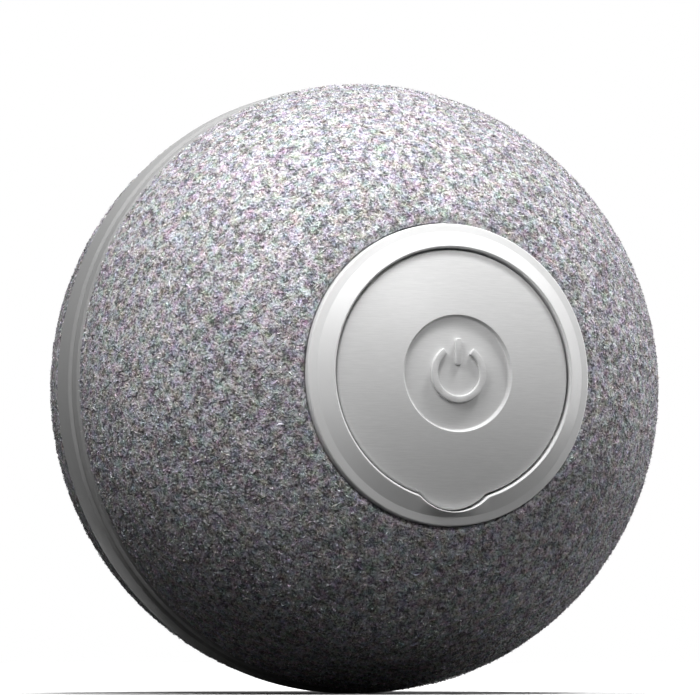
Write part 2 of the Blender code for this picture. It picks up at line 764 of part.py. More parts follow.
def lid_anchor():
    """The part of the lid above the bend line, with the strap that is buttoned through the panel."""
    anchor = lid_blank("lid_anchor")
    cut(anchor, half_space("anchor_cut", -(2 * LID_RADIUS + LOBE_RISE), ANCHOR_LOW))
    strap = block("anchor_strap", STRAP_WIDTH, STRAP_THICKNESS, -(LID_BACK + THIN_GAP), -(PANEL_BACK - FIT_GAP),
                  silicone(), (0, STRAP_Z))
    head_front = PANEL_BACK - SEAT_GAP
    head_height = STRAP_THICKNESS + 2 * THIN_GAP
    head = block("anchor_head", STRAP_HEAD_WIDTH, head_height, -head_front, -(head_front - STRAP_HEAD_LENGTH),
                 silicone(), (0, STRAP_Z))
    fuse(anchor, strap)
    return fuse(anchor, head)


def port_panel():
    """The floor of the well, with the openings for the socket, the button, the light and the strap."""
    plateau = WELL_INNER - SEAT_GAP
    flange = WELL_OUTER - THIN_GAP
    outline = [
        (0, -PANEL_FACE),
        (plateau, -PANEL_FACE),
        (plateau, -PANEL_STEP),
        (flange, -PANEL_STEP),
        (flange, -PANEL_BACK),
        (0, -PANEL_BACK),
    ]
    panel = turned("port_panel", outline, chassis_plastic(), PORT_FACETS, closed=False)
    front = -(PANEL_FACE + OVERRUN)
    rear = -(PANEL_BACK - OVERRUN)
    mouth = rounded(SOCKET_WIDTH + 2 * SEAT_GAP, SOCKET_HEIGHT + 2 * SEAT_GAP, SOCKET_CORNER + SEAT_GAP)
    slot_width = STRAP_WIDTH + 2 * SEAT_GAP
    finish = chassis_plastic()
    return cut(
        panel,
        prism("socket_hole", mouth, front, rear, finish, (0, SOCKET_Z)),
        disc("button_hole", BUTTON_RADIUS + SEAT_GAP, front, rear, finish, PIECE_FACETS, (0, BUTTON_Z)),
        disc("light_hole", LIGHT_RADIUS + SEAT_GAP, front, rear, finish, SMALL_FACETS, (LIGHT_X, LIGHT_Z)),
        block("strap_slot", slot_width, SLOT_HEIGHT, front, rear, finish, (0, STRAP_Z)),
    )


def usb_socket():
    """An upright charging socket: a steel tube with a floor and a contact tongue."""
    front = -PANEL_FACE
    rear = front + SOCKET_LENGTH
    socket = prism("usb_socket", rounded(SOCKET_WIDTH, SOCKET_HEIGHT, SOCKET_CORNER), front, rear, steel(),
                   (0, SOCKET_Z))
    inside = rounded(SOCKET_WIDTH - 2 * SOCKET_WALL, SOCKET_HEIGHT - 2 * SOCKET_WALL, SOCKET_CORNER - SOCKET_WALL)
    cavity = prism("socket_cavity", inside, front - OVERRUN, rear - SOCKET_FLOOR, steel(), (0, SOCKET_Z))
    blade = block("socket_tongue", TONGUE_BLADE_WIDTH, TONGUE_BLADE_THICKNESS,
                  rear - SOCKET_FLOOR - TONGUE_BLADE_LENGTH, rear - SOCKET_FLOOR / 2, steel(), (0, SOCKET_Z))
    cut(socket, cavity)
    return fuse(socket, blade)


SWITCH_TOP = BOARD_FRONT + THIN_GAP + SWITCH_BODY
PLUNGER_TOP = SWITCH_TOP + PLUNGER_PROUD


def power_button():
    """The button's cap, the flange that keeps it behind the panel and the stem to the switch."""
    top = PANEL_FACE + BUTTON_PROUD
    flange_top = PANEL_BACK - THIN_GAP
    flange_back = flange_top - BUTTON_FLANGE_THICKNESS
    wide = BUTTON_RADIUS + BUTTON_FLANGE
    outline = [
        (0, -top),
        (BUTTON_RADIUS - LID_CHAMFER, -top),
        (BUTTON_RADIUS, -(top - LID_CHAMFER)),
        (BUTTON_RADIUS, -flange_top),
        (wide, -flange_top),
        (wide, -flange_back),
        (BUTTON_STEM_RADIUS, -flange_back),
        (BUTTON_STEM_RADIUS, -(PLUNGER_TOP + THIN_GAP)),
        (0, -(PLUNGER_TOP + THIN_GAP)),
    ]
    return turned("power_button", outline, shell_plastic(), PIECE_FACETS, (0, BUTTON_Z), closed=False)


def tact_switch():
    switch = block("tact_switch", SWITCH_SIDE, SWITCH_SIDE, -SWITCH_TOP, -(BOARD_FRONT + THIN_GAP), part_black(),
                   (0, BUTTON_Z))
    well_end = SWITCH_TOP - BUTTON_TRAVEL - 2 * FIT_GAP
    return cut(switch, disc("plunger_hole", PLUNGER_RADIUS + SEAT_GAP, -(SWITCH_TOP + OVERRUN), -well_end,
                            part_black(), SMALL_FACETS, (0, BUTTON_Z)))


def switch_plunger():
    return disc("switch_plunger", PLUNGER_RADIUS, -PLUNGER_TOP, -(SWITCH_TOP - FIT_GAP), gear_plastic(),
                SMALL_FACETS, (0, BUTTON_Z))


def light_pipe():
    """A clear rod that shows the lamp's light in the well, with a head behind the panel."""
    head_front = PANEL_BACK - THIN_GAP
    head_back = head_front - LIGHT_HEAD_LENGTH
    outline = [
        (0, -PANEL_FACE),
        (LIGHT_RADIUS, -PANEL_FACE),
        (LIGHT_RADIUS, -head_front),
        (LIGHT_HEAD_RADIUS, -head_front),
        (LIGHT_HEAD_RADIUS, -head_back),
        (LIGHT_RADIUS, -head_back),
        (LIGHT_RADIUS, -(BOARD_FRONT + LED_HEIGHT + 2 * THIN_GAP)),
        (0, -(BOARD_FRONT + LED_HEIGHT + 2 * THIN_GAP)),
    ]
    return turned("light_pipe", outline, clear_plastic(), SMALL_FACETS, (LIGHT_X, LIGHT_Z), closed=False)


def status_lamp():
    return block("status_lamp", LED_SIDE, LED_SIDE / 2, -(BOARD_FRONT + THIN_GAP + LED_HEIGHT),
                 -(BOARD_FRONT + THIN_GAP), clear_plastic(), (LIGHT_X, LIGHT_Z))


def main_board():
    return disc("main_board", BOARD_RADIUS, -BOARD_FRONT, -BOARD_BACK, board_green(), PORT_FACETS)


def control_chip():
    return block("control_chip", CHIP_SIDE, CHIP_SIDE, -(BOARD_FRONT + THIN_GAP + CHIP_HEIGHT),
                 -(BOARD_FRONT + THIN_GAP), part_black(), (CHIP_X, CHIP_Z))


MOTOR_REAR = WALL_FRONT - THIN_GAP
MOTOR_CAP_FRONT = -(BOARD_BACK - LEAD_SPACE)
BATTERY_FRONT = MOTOR_CAP_FRONT
BATTERY_REAR = WALL_FRONT - FIT_GAP


SHELF_TOP = MOTOR_AT[1] - MOTOR_RADIUS - SADDLE_RISE


def battery_span():
    """Lowest and highest z of the battery: its lower corners follow the drum, its top the shelf."""
    reach = DRUM_INNER - FIT_GAP - BATTERY_CORNER
    corner_z = math.sqrt(reach**2 - (BATTERY_WIDTH / 2 - BATTERY_CORNER) ** 2)
    return -corner_z - BATTERY_CORNER, SHELF_TOP - SHELF_THICKNESS - FIT_GAP


def chassis():
    """The drum that carries the board, the battery, the motor and the gears."""
    outline = [
        (POCKET_RADIUS, -FLANGE_FRONT),
        (DRUM_OUTER + FLANGE_WIDTH, -FLANGE_FRONT),
        (DRUM_OUTER + FLANGE_WIDTH, -FLANGE_BACK),
        (DRUM_OUTER, -FLANGE_BACK),
        (DRUM_OUTER, WALL_REAR),
        (AXLE_BOSS, WALL_REAR),
        (AXLE_BOSS, COVER_FRONT + COVER_THICKNESS / 2),
        (AXLE_HOLE, COVER_FRONT + COVER_THICKNESS / 2),
        (AXLE_HOLE, WALL_FRONT),
        (DRUM_INNER, WALL_FRONT),
        (DRUM_INNER, -BOARD_SEAT),
        (POCKET_RADIUS, -BOARD_SEAT),
    ]
    drum = turned("chassis", outline, chassis_plastic(), PORT_FACETS)
    finish = chassis_plastic()
    hole = SCREW_RADIUS + PILOT_GAP
    holes = []
    for number, degrees in enumerate(EAR_ANGLES, 1):
        at = circle_place(SCREW_CIRCLE, math.radians(degrees))
        fuse(drum, disc(f"ear_{number}", EAR_RADIUS, -(FLANGE_FRONT - EAR_INSET), -(FLANGE_BACK + EAR_INSET),
                        finish, SMALL_FACETS, at))
        holes.append(disc(f"ear_hole_{number}", hole, -(FLANGE_FRONT + OVERRUN), -(FLANGE_BACK - OVERRUN),
                          finish, SMALL_FACETS, at))
    shelf_z = SHELF_TOP - SHELF_THICKNESS / 2
    shelf_width = 2 * math.sqrt((DRUM_INNER + POCKET_WALL) ** 2 - (abs(shelf_z) + SHELF_THICKNESS / 2) ** 2)
    fuse(drum, block("shelf", shelf_width, SHELF_THICKNESS, MOTOR_CAP_FRONT, WALL_FRONT + CHASSIS_WALL / 2,
                     finish, (0, shelf_z)))
    fuse(drum, *motor_saddles(shelf_z))
    for number, degrees in enumerate(POST_ANGLES, 1):
        at = circle_place(DRUM_OUTER - POST_RADIUS - EAR_INSET, math.radians(degrees))
        fuse(drum, disc(f"post_{number}", POST_RADIUS, WALL_REAR - CHASSIS_WALL / 2, COVER_FRONT - SEAT_GAP,
                        finish, SMALL_FACETS, at))
        holes.append(disc(f"post_hole_{number}", hole, COVER_REAR - SCREW_LENGTH - FIT_GAP, COVER_REAR,
                          finish, SMALL_FACETS, at))
    holes.append(disc("nose_hole", MOTOR_NOSE_RADIUS + SEAT_GAP, WALL_FRONT - OVERRUN, WALL_REAR + OVERRUN,
                      finish, PIECE_FACETS, MOTOR_AT))
    for number, at in enumerate((FIRST_AT, SECOND_AT), 1):
        holes.append(disc(f"pin_hole_{number}", PIN_RADIUS + THIN_GAP, WALL_REAR - PIN_DEPTH - THIN_GAP,
                          WALL_REAR + OVERRUN, finish, SMALL_FACETS, at))
    return cut(drum, *holes)


def motor_saddles(shelf_z):
    """Two ribs that stand on the shelf and follow the underside of the motor."""
    low = shelf_z
    high = MOTOR_AT[1] - MOTOR_RADIUS / 2
    front = MOTOR_CAP_FRONT + MOTOR_CAP + MOTOR_CAP_GAP
    saddles = []
    for number, share in enumerate(SADDLE_SHARES, 1):
        start = front + share * (MOTOR_REAR - front - SADDLE_THICKNESS)
        saddle = block(f"saddle_{number}", SADDLE_WIDTH, high - low, start, start + SADDLE_THICKNESS,
                       chassis_plastic(), (0, (low + high) / 2))
        room = disc(f"saddle_room_{number}", MOTOR_RADIUS + FIT_GAP, start - OVERRUN,
                    start + SADDLE_THICKNESS + OVERRUN, chassis_plastic(), PIECE_FACETS, MOTOR_AT)
        cut(saddle, room)
        saddles.append(saddle)
    return saddles


def battery():
    low, high = battery_span()
    shape = rounded(BATTERY_WIDTH, high - low, BATTERY_CORNER, 3)
    return prism("battery", shape, BATTERY_FRONT, BATTERY_REAR, battery_foil(), (0, (low + high) / 2))


def battery_lead(name, side, finish):
    """A short lead that leaves the battery's end, turns up and ends at the board."""
    curve = bpy.data.curves.new(name, "CURVE")
    curve.dimensions = "3D"
    curve.bevel_depth = LEAD_RADIUS
    curve.bevel_resolution = 1
    curve.use_fill_caps = True
    start = BATTERY_FRONT - THIN_GAP
    end = -(BOARD_BACK - THIN_GAP)
    bottom, top = battery_span()
    low = (bottom + 3 * top) / 4
    rise = LEAD_RISE
    spline = curve.splines.new("POLY")
    count = 9
    spline.points.add(count - 1)
    for step, point in enumerate(spline.points):
        share = step / (count - 1)
        swing = (1 - math.cos(math.pi * share)) / 2
        x = side * LEAD_SPACING / 2 * (1 + swing / 2)
        point.co = (x, start + (end - start) * (share - math.sin(2 * math.pi * share) / (3 * math.pi)),
                    low + rise * swing, 1)
    lead = bpy.data.objects.new(name, curve)
    curve.materials.append(finish)
    bpy.context.scene.collection.objects.link(lead)
    return lead


def motor_can():
    """A small can motor with two flat sides and a nose that centres it in the drum's rear wall."""
    front = MOTOR_CAP_FRONT + MOTOR_CAP + MOTOR_CAP_GAP
    shape = []
    for step in range(PIECE_FACETS):
        x, z = circle_place(MOTOR_RADIUS, 2 * math.pi * (step + 0.5) / PIECE_FACETS)
        shape.append((max(-MOTOR_FLAT, min(MOTOR_FLAT, x)), z))
    can = prism("motor_can", shape, front, MOTOR_REAR, steel(), MOTOR_AT)
    nose = disc("motor_nose", MOTOR_NOSE_RADIUS, MOTOR_REAR - OVERRUN, WALL_REAR, steel(), PIECE_FACETS, MOTOR_AT)
    hole = disc("shaft_hole", MOTOR_SHAFT_RADIUS + THIN_GAP, MOTOR_REAR - MOTOR_SHAFT_DEPTH - THIN_GAP,
                WALL_REAR + OVERRUN, steel(), SMALL_FACETS, MOTOR_AT)
    fuse(can, nose)
    return cut(can, hole)


def motor_end_cap():
    return disc("motor_end_cap", MOTOR_FLAT, MOTOR_CAP_FRONT, MOTOR_CAP_FRONT + MOTOR_CAP, gear_plastic(),
                PIECE_FACETS, MOTOR_AT)


def motor_shaft():
    return disc("motor_shaft", MOTOR_SHAFT_RADIUS, MOTOR_REAR - MOTOR_SHAFT_DEPTH, FIRST_REAR, steel(),
                SMALL_FACETS, MOTOR_AT)


def gear_outline(teeth, tooth_angle):
    """(x, z) outline of an involute spur gear with the middle of one tooth at tooth_angle."""
    pitch = MODULE * teeth / 2
    tip = pitch + MODULE
    root = pitch - MODULE * ROOT_SHARE
    base = max(pitch * math.cos(PRESSURE_ANGLE), root)

    def involute(radius):
        slope = math.acos(min(pitch * math.cos(PRESSURE_ANGLE) / radius, 1.0))
        return math.tan(slope) - slope

    half = math.pi / (2 * teeth) * TOOTH_SHARE + involute(pitch)
    radii = (root, base, (pitch + tip) / 2, tip)
    flank = [(radius, half - involute(radius)) for radius in radii]
    points = []
    for tooth in range(teeth):
        middle = tooth_angle + 2 * math.pi * tooth / teeth
        points += [circle_place(radius, middle - wide) for radius, wide in flank]
        points += [circle_place(radius, middle + wide) for radius, wide in flank[::-1]]
    return points


def direction(start, end):
    return math.atan2(end[1] - start[1], end[0] - start[0])


def meshing(teeth, towards):
    """Angle of a tooth for a gear that has a gap towards the gear that drives or follows it."""
    return towards + math.pi / teeth


def bored(gear, radius, front, rear, at):
    return cut(gear, disc(f"{gear.name}_bore", radius, front - OVERRUN, rear + OVERRUN, gear_plastic(),
                          SMALL_FACETS, at))


def motor_pinion():
    shape = gear_outline(PINION_TEETH, meshing(PINION_TEETH, direction(MOTOR_AT, FIRST_AT)))
    pinion = prism("motor_pinion", shape, FIRST_FRONT, FIRST_REAR, brass(), MOTOR_AT)
    return bored(pinion, MOTOR_SHAFT_RADIUS + RUN_GAP, FIRST_FRONT, FIRST_REAR, MOTOR_AT)


def compound_gear(name, at, wheel_towards, pinion_towards, wheel_span, pinion_span, journal_end):
    """A wheel and a pinion in one piece, with a round journal between them."""
    wheel = prism(name, gear_outline(WHEEL_TEETH, wheel_towards), *wheel_span, gear_plastic(), at)
    overlap = THIN_GAP
    journal = disc(f"{name}_journal", JOURNAL_RADIUS, wheel_span[1] - overlap, journal_end, gear_plastic(),
                   PIECE_FACETS, at)
    shape = gear_outline(PINION_TEETH, meshing(PINION_TEETH, pinion_towards))
    pinion = prism(f"{name}_pinion", shape, *pinion_span, gear_plastic(), at)
    fuse(wheel, journal)
    fuse(wheel, pinion)
    return bored(wheel, PIN_RADIUS + RUN_GAP, wheel_span[0], pinion_span[1], at)


def first_gear():
    """Its wheel runs on the motor pinion, its pinion drives the second gear."""
    return compound_gear(
        "first_gear",
        FIRST_AT,
        direction(FIRST_AT, MOTOR_AT),
        direction(FIRST_AT, SECOND_AT),
        (FIRST_FRONT, FIRST_REAR),
        (SECOND_FRONT, SECOND_REAR),
        SECOND_FRONT + THIN_GAP,
    )


def second_gear():
    """Its pinion reaches through the gear cover and drives the output gear."""
    return compound_gear(
        "second_gear",
        SECOND_AT,
        direction(SECOND_AT, FIRST_AT),
        direction(SECOND_AT, (0, 0)),
        (SECOND_FRONT, SECOND_REAR),
        (OUTPUT_FRONT, OUTPUT_REAR),
        OUTPUT_FRONT + THIN_GAP,
    )


def output_gear():
    shape = gear_outline(OUTPUT_TEETH, direction((0, 0), SECOND_AT))
    gear = prism("output_gear", shape, OUTPUT_FRONT, OUTPUT_REAR, gear_plastic())
    return cut(gear, disc("output_bore", OUTPUT_BORE, OUTPUT_FRONT - OVERRUN, OUTPUT_REAR + OVERRUN,
                          gear_plastic(), PIECE_FACETS))


def gear_pin(name, at, rear):
    return disc(name, PIN_RADIUS, WALL_REAR - PIN_DEPTH, rear, steel(), SMALL_FACETS, at)


def gear_cover():
    """The plate over the first two stages, open for the axle boss and the second gear's journal."""
    cover = disc("gear_cover", DRUM_OUTER, COVER_FRONT, COVER_REAR, chassis_plastic(), PORT_FACETS)
    front = COVER_FRONT - OVERRUN
    rear = COVER_REAR + OVERRUN
    tip = PINION_PITCH + MODULE + SEAT_GAP
    finish = chassis_plastic()
    holes = [
        disc("cover_axle_hole", AXLE_BOSS + SEAT_GAP, front, rear, finish, PIECE_FACETS),
        disc("cover_journal_hole", tip, front, rear, finish, PIECE_FACETS, SECOND_AT),
        disc("cover_pin_hole", PIN_RADIUS + THIN_GAP, front, rear, finish, SMALL_FACETS, FIRST_AT),
    ]
    for number, degrees in enumerate(POST_ANGLES, 1):
        at = circle_place(DRUM_OUTER - POST_RADIUS - EAR_INSET, math.radians(degrees))
        holes.append(disc(f"cover_screw_hole_{number}", SCREW_RADIUS + PILOT_GAP, front, rear, finish,
                          SMALL_FACETS, at))
    return cut(cover, *holes)


def screw(name, at, seat, length, way):
    """A pan-head screw whose head sits behind seat and whose shank points the other way along Y."""
    head = seat + way * (HEAD_GAP + SCREW_HEAD_HEIGHT)
    under = seat + way * HEAD_GAP
    outline = [
        (0, head),
        (SCREW_HEAD_RADIUS, head),
        (SCREW_HEAD_RADIUS, under),
        (SCREW_RADIUS, under),
        (SCREW_RADIUS, seat - way * (length - FIT_GAP)),
        (0, seat - way * length),
    ]
    return turned(name, outline, steel(), SMALL_FACETS, at, closed=False)


def axle():
    return disc("axle", AXLE_RADIUS, WALL_FRONT + FIT_GAP, AXLE_REAR, steel(), PIECE_FACETS)


def axle_bush():
    return ring("axle_bush", BUSH_BORE, BUSH_OUTER, OUTPUT_FRONT, HUB_REAR - THIN_GAP, brass())


def axle_washer():
    return ring("axle_washer", AXLE_HOLE, AXLE_HOLE + WASHER_WIDTH, WASHER_FRONT, WASHER_REAR, steel())


def weight_carrier():
    """The plate that turns on the axle and carries the weight: a hub, a fan and two windows."""
    points = sector(CARRIER_HUB_RADIUS, CARRIER_RADIUS, CARRIER_HALF_ANGLE)
    fan = points[: len(points) // 2]
    back = math.pi - CARRIER_HALF_ANGLE
    for step in range(SMALL_FACETS + 1):
        angle = -DOWN - back * (2 * step / SMALL_FACETS - 1) * -1
        fan.append(circle_place(CARRIER_HUB_RADIUS, angle))
    plate = prism("weight_carrier", fan, CARRIER_FRONT, CARRIER_REAR, gear_plastic())
    fuse(plate, disc("carrier_hub", HUB_OUTER, OUTPUT_FRONT, HUB_REAR, gear_plastic(), PIECE_FACETS))
    front = OUTPUT_FRONT - OVERRUN
    rear = HUB_REAR + OVERRUN
    holes = [disc("carrier_bore", HUB_BORE, front, rear, gear_plastic(), PIECE_FACETS)]
    half = (WINDOW_HALF_ANGLE - WINDOW_RIB_ANGLE) / 2
    for number, side in enumerate((-1, 1), 1):
        middle = side * (WINDOW_HALF_ANGLE + WINDOW_RIB_ANGLE) / 2
        window = sector(CARRIER_HUB_RADIUS + WINDOW_MARGIN, WEIGHT_INNER - WINDOW_MARGIN, half, middle, 4)
        holes.append(prism(f"carrier_window_{number}", window, front, rear, gear_plastic()))
        at = circle_place(WEIGHT_SCREW_CIRCLE, DOWN + side * WEIGHT_SCREW_ANGLE)
        holes.append(disc(f"carrier_screw_hole_{number}", SCREW_RADIUS + PILOT_GAP, front, rear, gear_plastic(),
                          SMALL_FACETS, at))
    return cut(plate, *holes)


def swing_weight():
    """The cast segment that hangs round the drum and follows the inside of the shells."""
    edge = skin_radius(WEIGHT_REAR, WEIGHT_DEPTH)
    outline = [(WEIGHT_INNER, WEIGHT_FRONT), (skin_radius(WEIGHT_FRONT, WEIGHT_DEPTH), WEIGHT_FRONT)]
    outline.append((BALL_RADIUS - WEIGHT_DEPTH, 0))
    outline += skin_arc(0, WEIGHT_REAR, WEIGHT_DEPTH, 4)[1:-1]
    outline += [(edge, WEIGHT_REAR), (WEIGHT_INNER, WEIGHT_REAR)]
    bm = bmesh.new()
    start = math.pi + WEIGHT_HALF_ANGLE
    verts = []
    for radius, y in outline:
        verts.append(bm.verts.new((radius * math.sin(start), y, radius * math.cos(start))))
    face = bm.faces.new(verts)
    bmesh.ops.spin(
        bm,
        geom=[face] + list(face.edges) + verts,
        cent=(0, 0, 0),
        axis=(0, 1, 0),
        angle=-2 * WEIGHT_HALF_ANGLE,
        steps=PIECE_FACETS,
    )
    weight = add_solid("swing_weight", bm, cast_weight())
    depth = CARRIER_REAR - WEIGHT_SCREW_LENGTH - FIT_GAP
    holes = []
    for number, side in enumerate((-1, 1), 1):
        at = circle_place(WEIGHT_SCREW_CIRCLE, DOWN + side * WEIGHT_SCREW_ANGLE)
        holes.append(disc(f"weight_hole_{number}", SCREW_RADIUS + PILOT_GAP, depth, WEIGHT_REAR + OVERRUN,
                          cast_weight(), SMALL_FACETS, at))
    return cut(weight, *holes)


def clear_scene():
    for old in list(bpy.data.objects):
        bpy.data.objects.remove(old, do_unlink=True)


def axis_empty(name, at):
    """An empty that marks a joint's axis."""
    mark = bpy.data.objects.new(name, None)
    mark.empty_display_size = LID_RADIUS
    mark.location = at
    bpy.context.scene.collection.objects.link(mark)
    return mark


def carry(mark, pieces):
    """Hangs pieces on an empty, where they are."""
    for piece in pieces:
        piece.parent = mark
        piece.matrix_parent_inverse = Matrix.Translation(mark.location).inverted()


def build_casing():
    front_shell()
    rear_shell()
    seal_ring()
    felt_cover("front_felt_cover", -1)
    felt_cover("rear_felt_cover", 1)
    front_rim()
    rear_rim()
    rear_end_cap()


def build_port():
    carry(axis_empty("lid_hinge_axis", (0, -LID_FACE, HINGE_Z)), [port_lid()])
    lid_anchor()
    port_panel()
    usb_socket()
    pressed = [power_button(), switch_plunger()]
    carry(axis_empty("button_axis", (0, -PANEL_FACE, BUTTON_Z)), pressed)
    tact_switch()
    light_pipe()
    status_lamp()
    main_board()
    control_chip()


def build_core():
    chassis()
    for number, degrees in enumerate(EAR_ANGLES, 1):
        at = circle_place(SCREW_CIRCLE, math.radians(degrees))
        screw(f"chassis_screw_{number}", at, -(FLANGE_BACK + EAR_INSET), SCREW_LENGTH, 1)
    battery()
    battery_lead("battery_lead_red", -1, wire("red_lead", (0.5, 0.03, 0.03)))
    battery_lead("battery_lead_black", 1, wire("black_lead", (0.03, 0.03, 0.03)))
    motor_can()
    motor_end_cap()
    motor_shaft()
    motor_pinion()


def build_gears():
    first_gear()
    second_gear()
    gear_pin("first_gear_pin", FIRST_AT, COVER_REAR)
    gear_pin("second_gear_pin", SECOND_AT, OUTPUT_REAR)
    gear_cover()
    for number, degrees in enumerate(POST_ANGLES, 1):
        at = circle_place(DRUM_OUTER - POST_RADIUS - EAR_INSET, math.radians(degrees))
        screw(f"cover_screw_{number}", at, COVER_REAR, SCREW_LENGTH, 1)


def build_swing():
    swung = [output_gear(), axle_bush(), weight_carrier(), swing_weight()]
    for number, side in enumerate((-1, 1), 1):
        at = circle_place(WEIGHT_SCREW_CIRCLE, DOWN + side * WEIGHT_SCREW_ANGLE)
        swung.append(screw(f"weight_screw_{number}", at, CARRIER_REAR, WEIGHT_SCREW_LENGTH, 1))
    carry(axis_empty("swing_axis", (0, 0, 0)), swung)
    axle()
    axle_washer()


clear_scene()
build_casing()
build_port()
build_core()
build_gears()
build_swing()
shade_all()
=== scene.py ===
"""Looks of the self rolling cat ball: felt with its nap, satin and gloss plastics, and the drive inside."""

import json
import math

import bpy
import numpy as np
from mathutils import Matrix, Vector


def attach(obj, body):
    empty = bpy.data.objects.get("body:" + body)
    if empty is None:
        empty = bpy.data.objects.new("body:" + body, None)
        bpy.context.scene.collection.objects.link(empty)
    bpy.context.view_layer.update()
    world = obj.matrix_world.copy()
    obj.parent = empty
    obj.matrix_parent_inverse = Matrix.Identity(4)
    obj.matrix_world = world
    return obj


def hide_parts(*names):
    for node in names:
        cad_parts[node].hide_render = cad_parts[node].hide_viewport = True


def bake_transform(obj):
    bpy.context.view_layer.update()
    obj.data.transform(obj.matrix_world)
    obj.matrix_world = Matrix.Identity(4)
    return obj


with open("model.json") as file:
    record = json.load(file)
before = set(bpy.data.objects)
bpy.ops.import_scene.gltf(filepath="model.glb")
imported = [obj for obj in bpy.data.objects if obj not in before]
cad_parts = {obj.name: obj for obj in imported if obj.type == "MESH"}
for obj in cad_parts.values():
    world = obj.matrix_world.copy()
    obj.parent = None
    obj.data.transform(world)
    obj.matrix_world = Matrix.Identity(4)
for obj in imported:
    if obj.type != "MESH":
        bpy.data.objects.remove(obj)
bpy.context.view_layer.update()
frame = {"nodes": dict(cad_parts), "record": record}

MM = 0.001

# Sizes of the ball in millimetres, the same as the CAD part's
BALL_RADIUS = 21.5
POLE_HEIGHT = 19.44
CURVE_POWER = 2.12
FELT_THICKNESS = 0.9
FELT_GAP = 0.2
SHELL_DEPTH = 1.2
SHELL_WALL = 1.3
BELT_HALF = 2.15
BELT_PROUD = 0.08
TONGUE = 1.3
TONGUE_WALL = 0.8
REBATE_WIDTH = 1.0
REBATE_END = 2.14
BOSS_CIRCLE = 12.7
RIM_RADIUS = 10.2
RIM_INNER = 8.5
RIM_FLANGE = 9.63
RIM_FLANGE_TOP = 17.7378
RIM_EDGE = 17.6178
RIM_TOP = 18.4378
RIM_BASE = 16.2031
LID_FACE = 18.2778
LID_BACK = 17.2778
LEDGE = 17.0278
LAND = 16.0031
POLE_INSIDE = 14.7031
WELL_INNER = 7.66
WELL_OUTER = 8.56
OPENING = 8.81
PANEL_STEP = 13.5278
LID_RADIUS = 8.36
LOBE_RADIUS = 3.14
LOBE_Z = -5.97
SEAM = 0.14
SKIRT_INNER = 6.61
SKIRT_OUTER = 7.31
SKIRT_DEPTH = 1.0
DISH_RADIUS = 3.9
DISH_DEPTH = 0.3

# Sizes of the looks alone, in millimetres: the belt's fine outline, the felt's cut edges and the lid's dome
BELT_GAP = 0.06
BELT_STEP = 0.18
BELT_REAR = 1.85
BELT_CHAMFER = 0.18
PARTING_HALF = 0.02
PARTING_SHIFT = 0.92
PARTING_DEPTH = 0.9
FRONT_PARTING_CORNER = 0.03
REAR_PARTING_CORNER = 0.21
FELT_ARC = 24.0
BELT_ROLL, BELT_ROLL_WIDTH = 0.27, 0.4
RIM_ROLL, RIM_ROLL_WIDTH = 0.24, 0.2
LID_DOME = 1.15
LID_EDGE_DROP = 0.1
LID_CORNER = 0.16
ROUND_FACE = 7.3

# Columns of points round the axis
FELT_COLUMNS = 560
SHELL_COLUMNS = 360
BEZEL_COLUMNS = 640
LID_COLUMNS = 560

# The camera: its focal length and the frame in pixels, and its place right of, over and behind the middle in radii
FOCAL_PIXELS = 4552
FRAME_PIXELS = 700
SENSOR = 36
CAMERA_PLACE = (-0.0157, 0.1286, 15)


def skin(radius_angle, depth=0.0):
    """Radius and height of the surface at a depth under the skin, for a turning angle from the equator."""
    wide, tall = BALL_RADIUS - depth, POLE_HEIGHT - depth
    power = 2 / CURVE_POWER
    return wide * np.cos(radius_angle) ** power, tall * np.sin(radius_angle) ** power


def skin_angle(height, depth=0.0):
    return math.asin((height / (POLE_HEIGHT - depth)) ** (CURVE_POWER / 2))


def skin_height(radius, depth=0.0):
    wide, tall = BALL_RADIUS - depth, POLE_HEIGHT - depth
    return tall * (1 - (radius / wide) ** CURVE_POWER) ** (1 / CURVE_POWER)


def skin_radius(height, depth=0.0):
    wide, tall = BALL_RADIUS - depth, POLE_HEIGHT - depth
    return wide * (1 - (height / tall) ** CURVE_POWER) ** (1 / CURVE_POWER)


# Mesh helpers, all in millimetres
def build(name, verts, faces, finish, smooth=35):
    """A mesh object from points in millimetres, shaded smooth but for its sharp edges."""
    mesh = bpy.data.meshes.new(name)
    quads = faces.tolist() if isinstance(faces, np.ndarray) else faces
    mesh.from_pydata((np.asarray(verts, float) * MM).tolist(), [], quads)
    mesh.validate()
    mesh.materials.append(finish)
    mesh.shade_smooth()
    if smooth < 180:
        mesh.set_sharp_from_angle(angle=math.radians(smooth))
    made = bpy.data.objects.new(name, mesh)
    bpy.context.scene.collection.objects.link(made)
    return made


def lattice(points, loop=False):
    """Points (rows, columns, 3) and the faces between them. Columns always close; rows do if it's a loop."""
    rows, cols = points.shape[:2]
    down = np.arange(rows if loop else rows - 1)[:, None]
    across = np.arange(cols)[None, :]
    after = (across + 1) % cols
    below = (down + 1) % rows
    faces = np.stack([down * cols + across, down * cols + after, below * cols + after, below * cols + across], -1)
    faces = faces.reshape(-1, 4)
    verts = points.reshape(-1, 3)
    a, b, c, d = (verts[faces[:, i]] for i in range(4))
    volume = np.einsum("ij,ij->i", a, np.cross(b, c)).sum() + np.einsum("ij,ij->i", a, np.cross(c, d)).sum()
    return verts, faces if volume > 0 else faces[:, ::-1]


def around(count):
    return np.arange(count) * 2 * math.pi / count


def turn(outline, count, at=(0.0, 0.0), loop=True):
    """A surface of revolution from (radius, y) points about a line along Y."""
    outline = np.asarray(outline, float)
    angle = around(count)
    radius = outline[:, 0][:, None]
    points = np.empty((len(outline), count, 3))
    points[..., 0] = at[0] + radius * np.sin(angle)
    points[..., 1] = outline[:, 1][:, None]
    points[..., 2] = at[1] + radius * np.cos(angle)
    return lattice(points, loop)


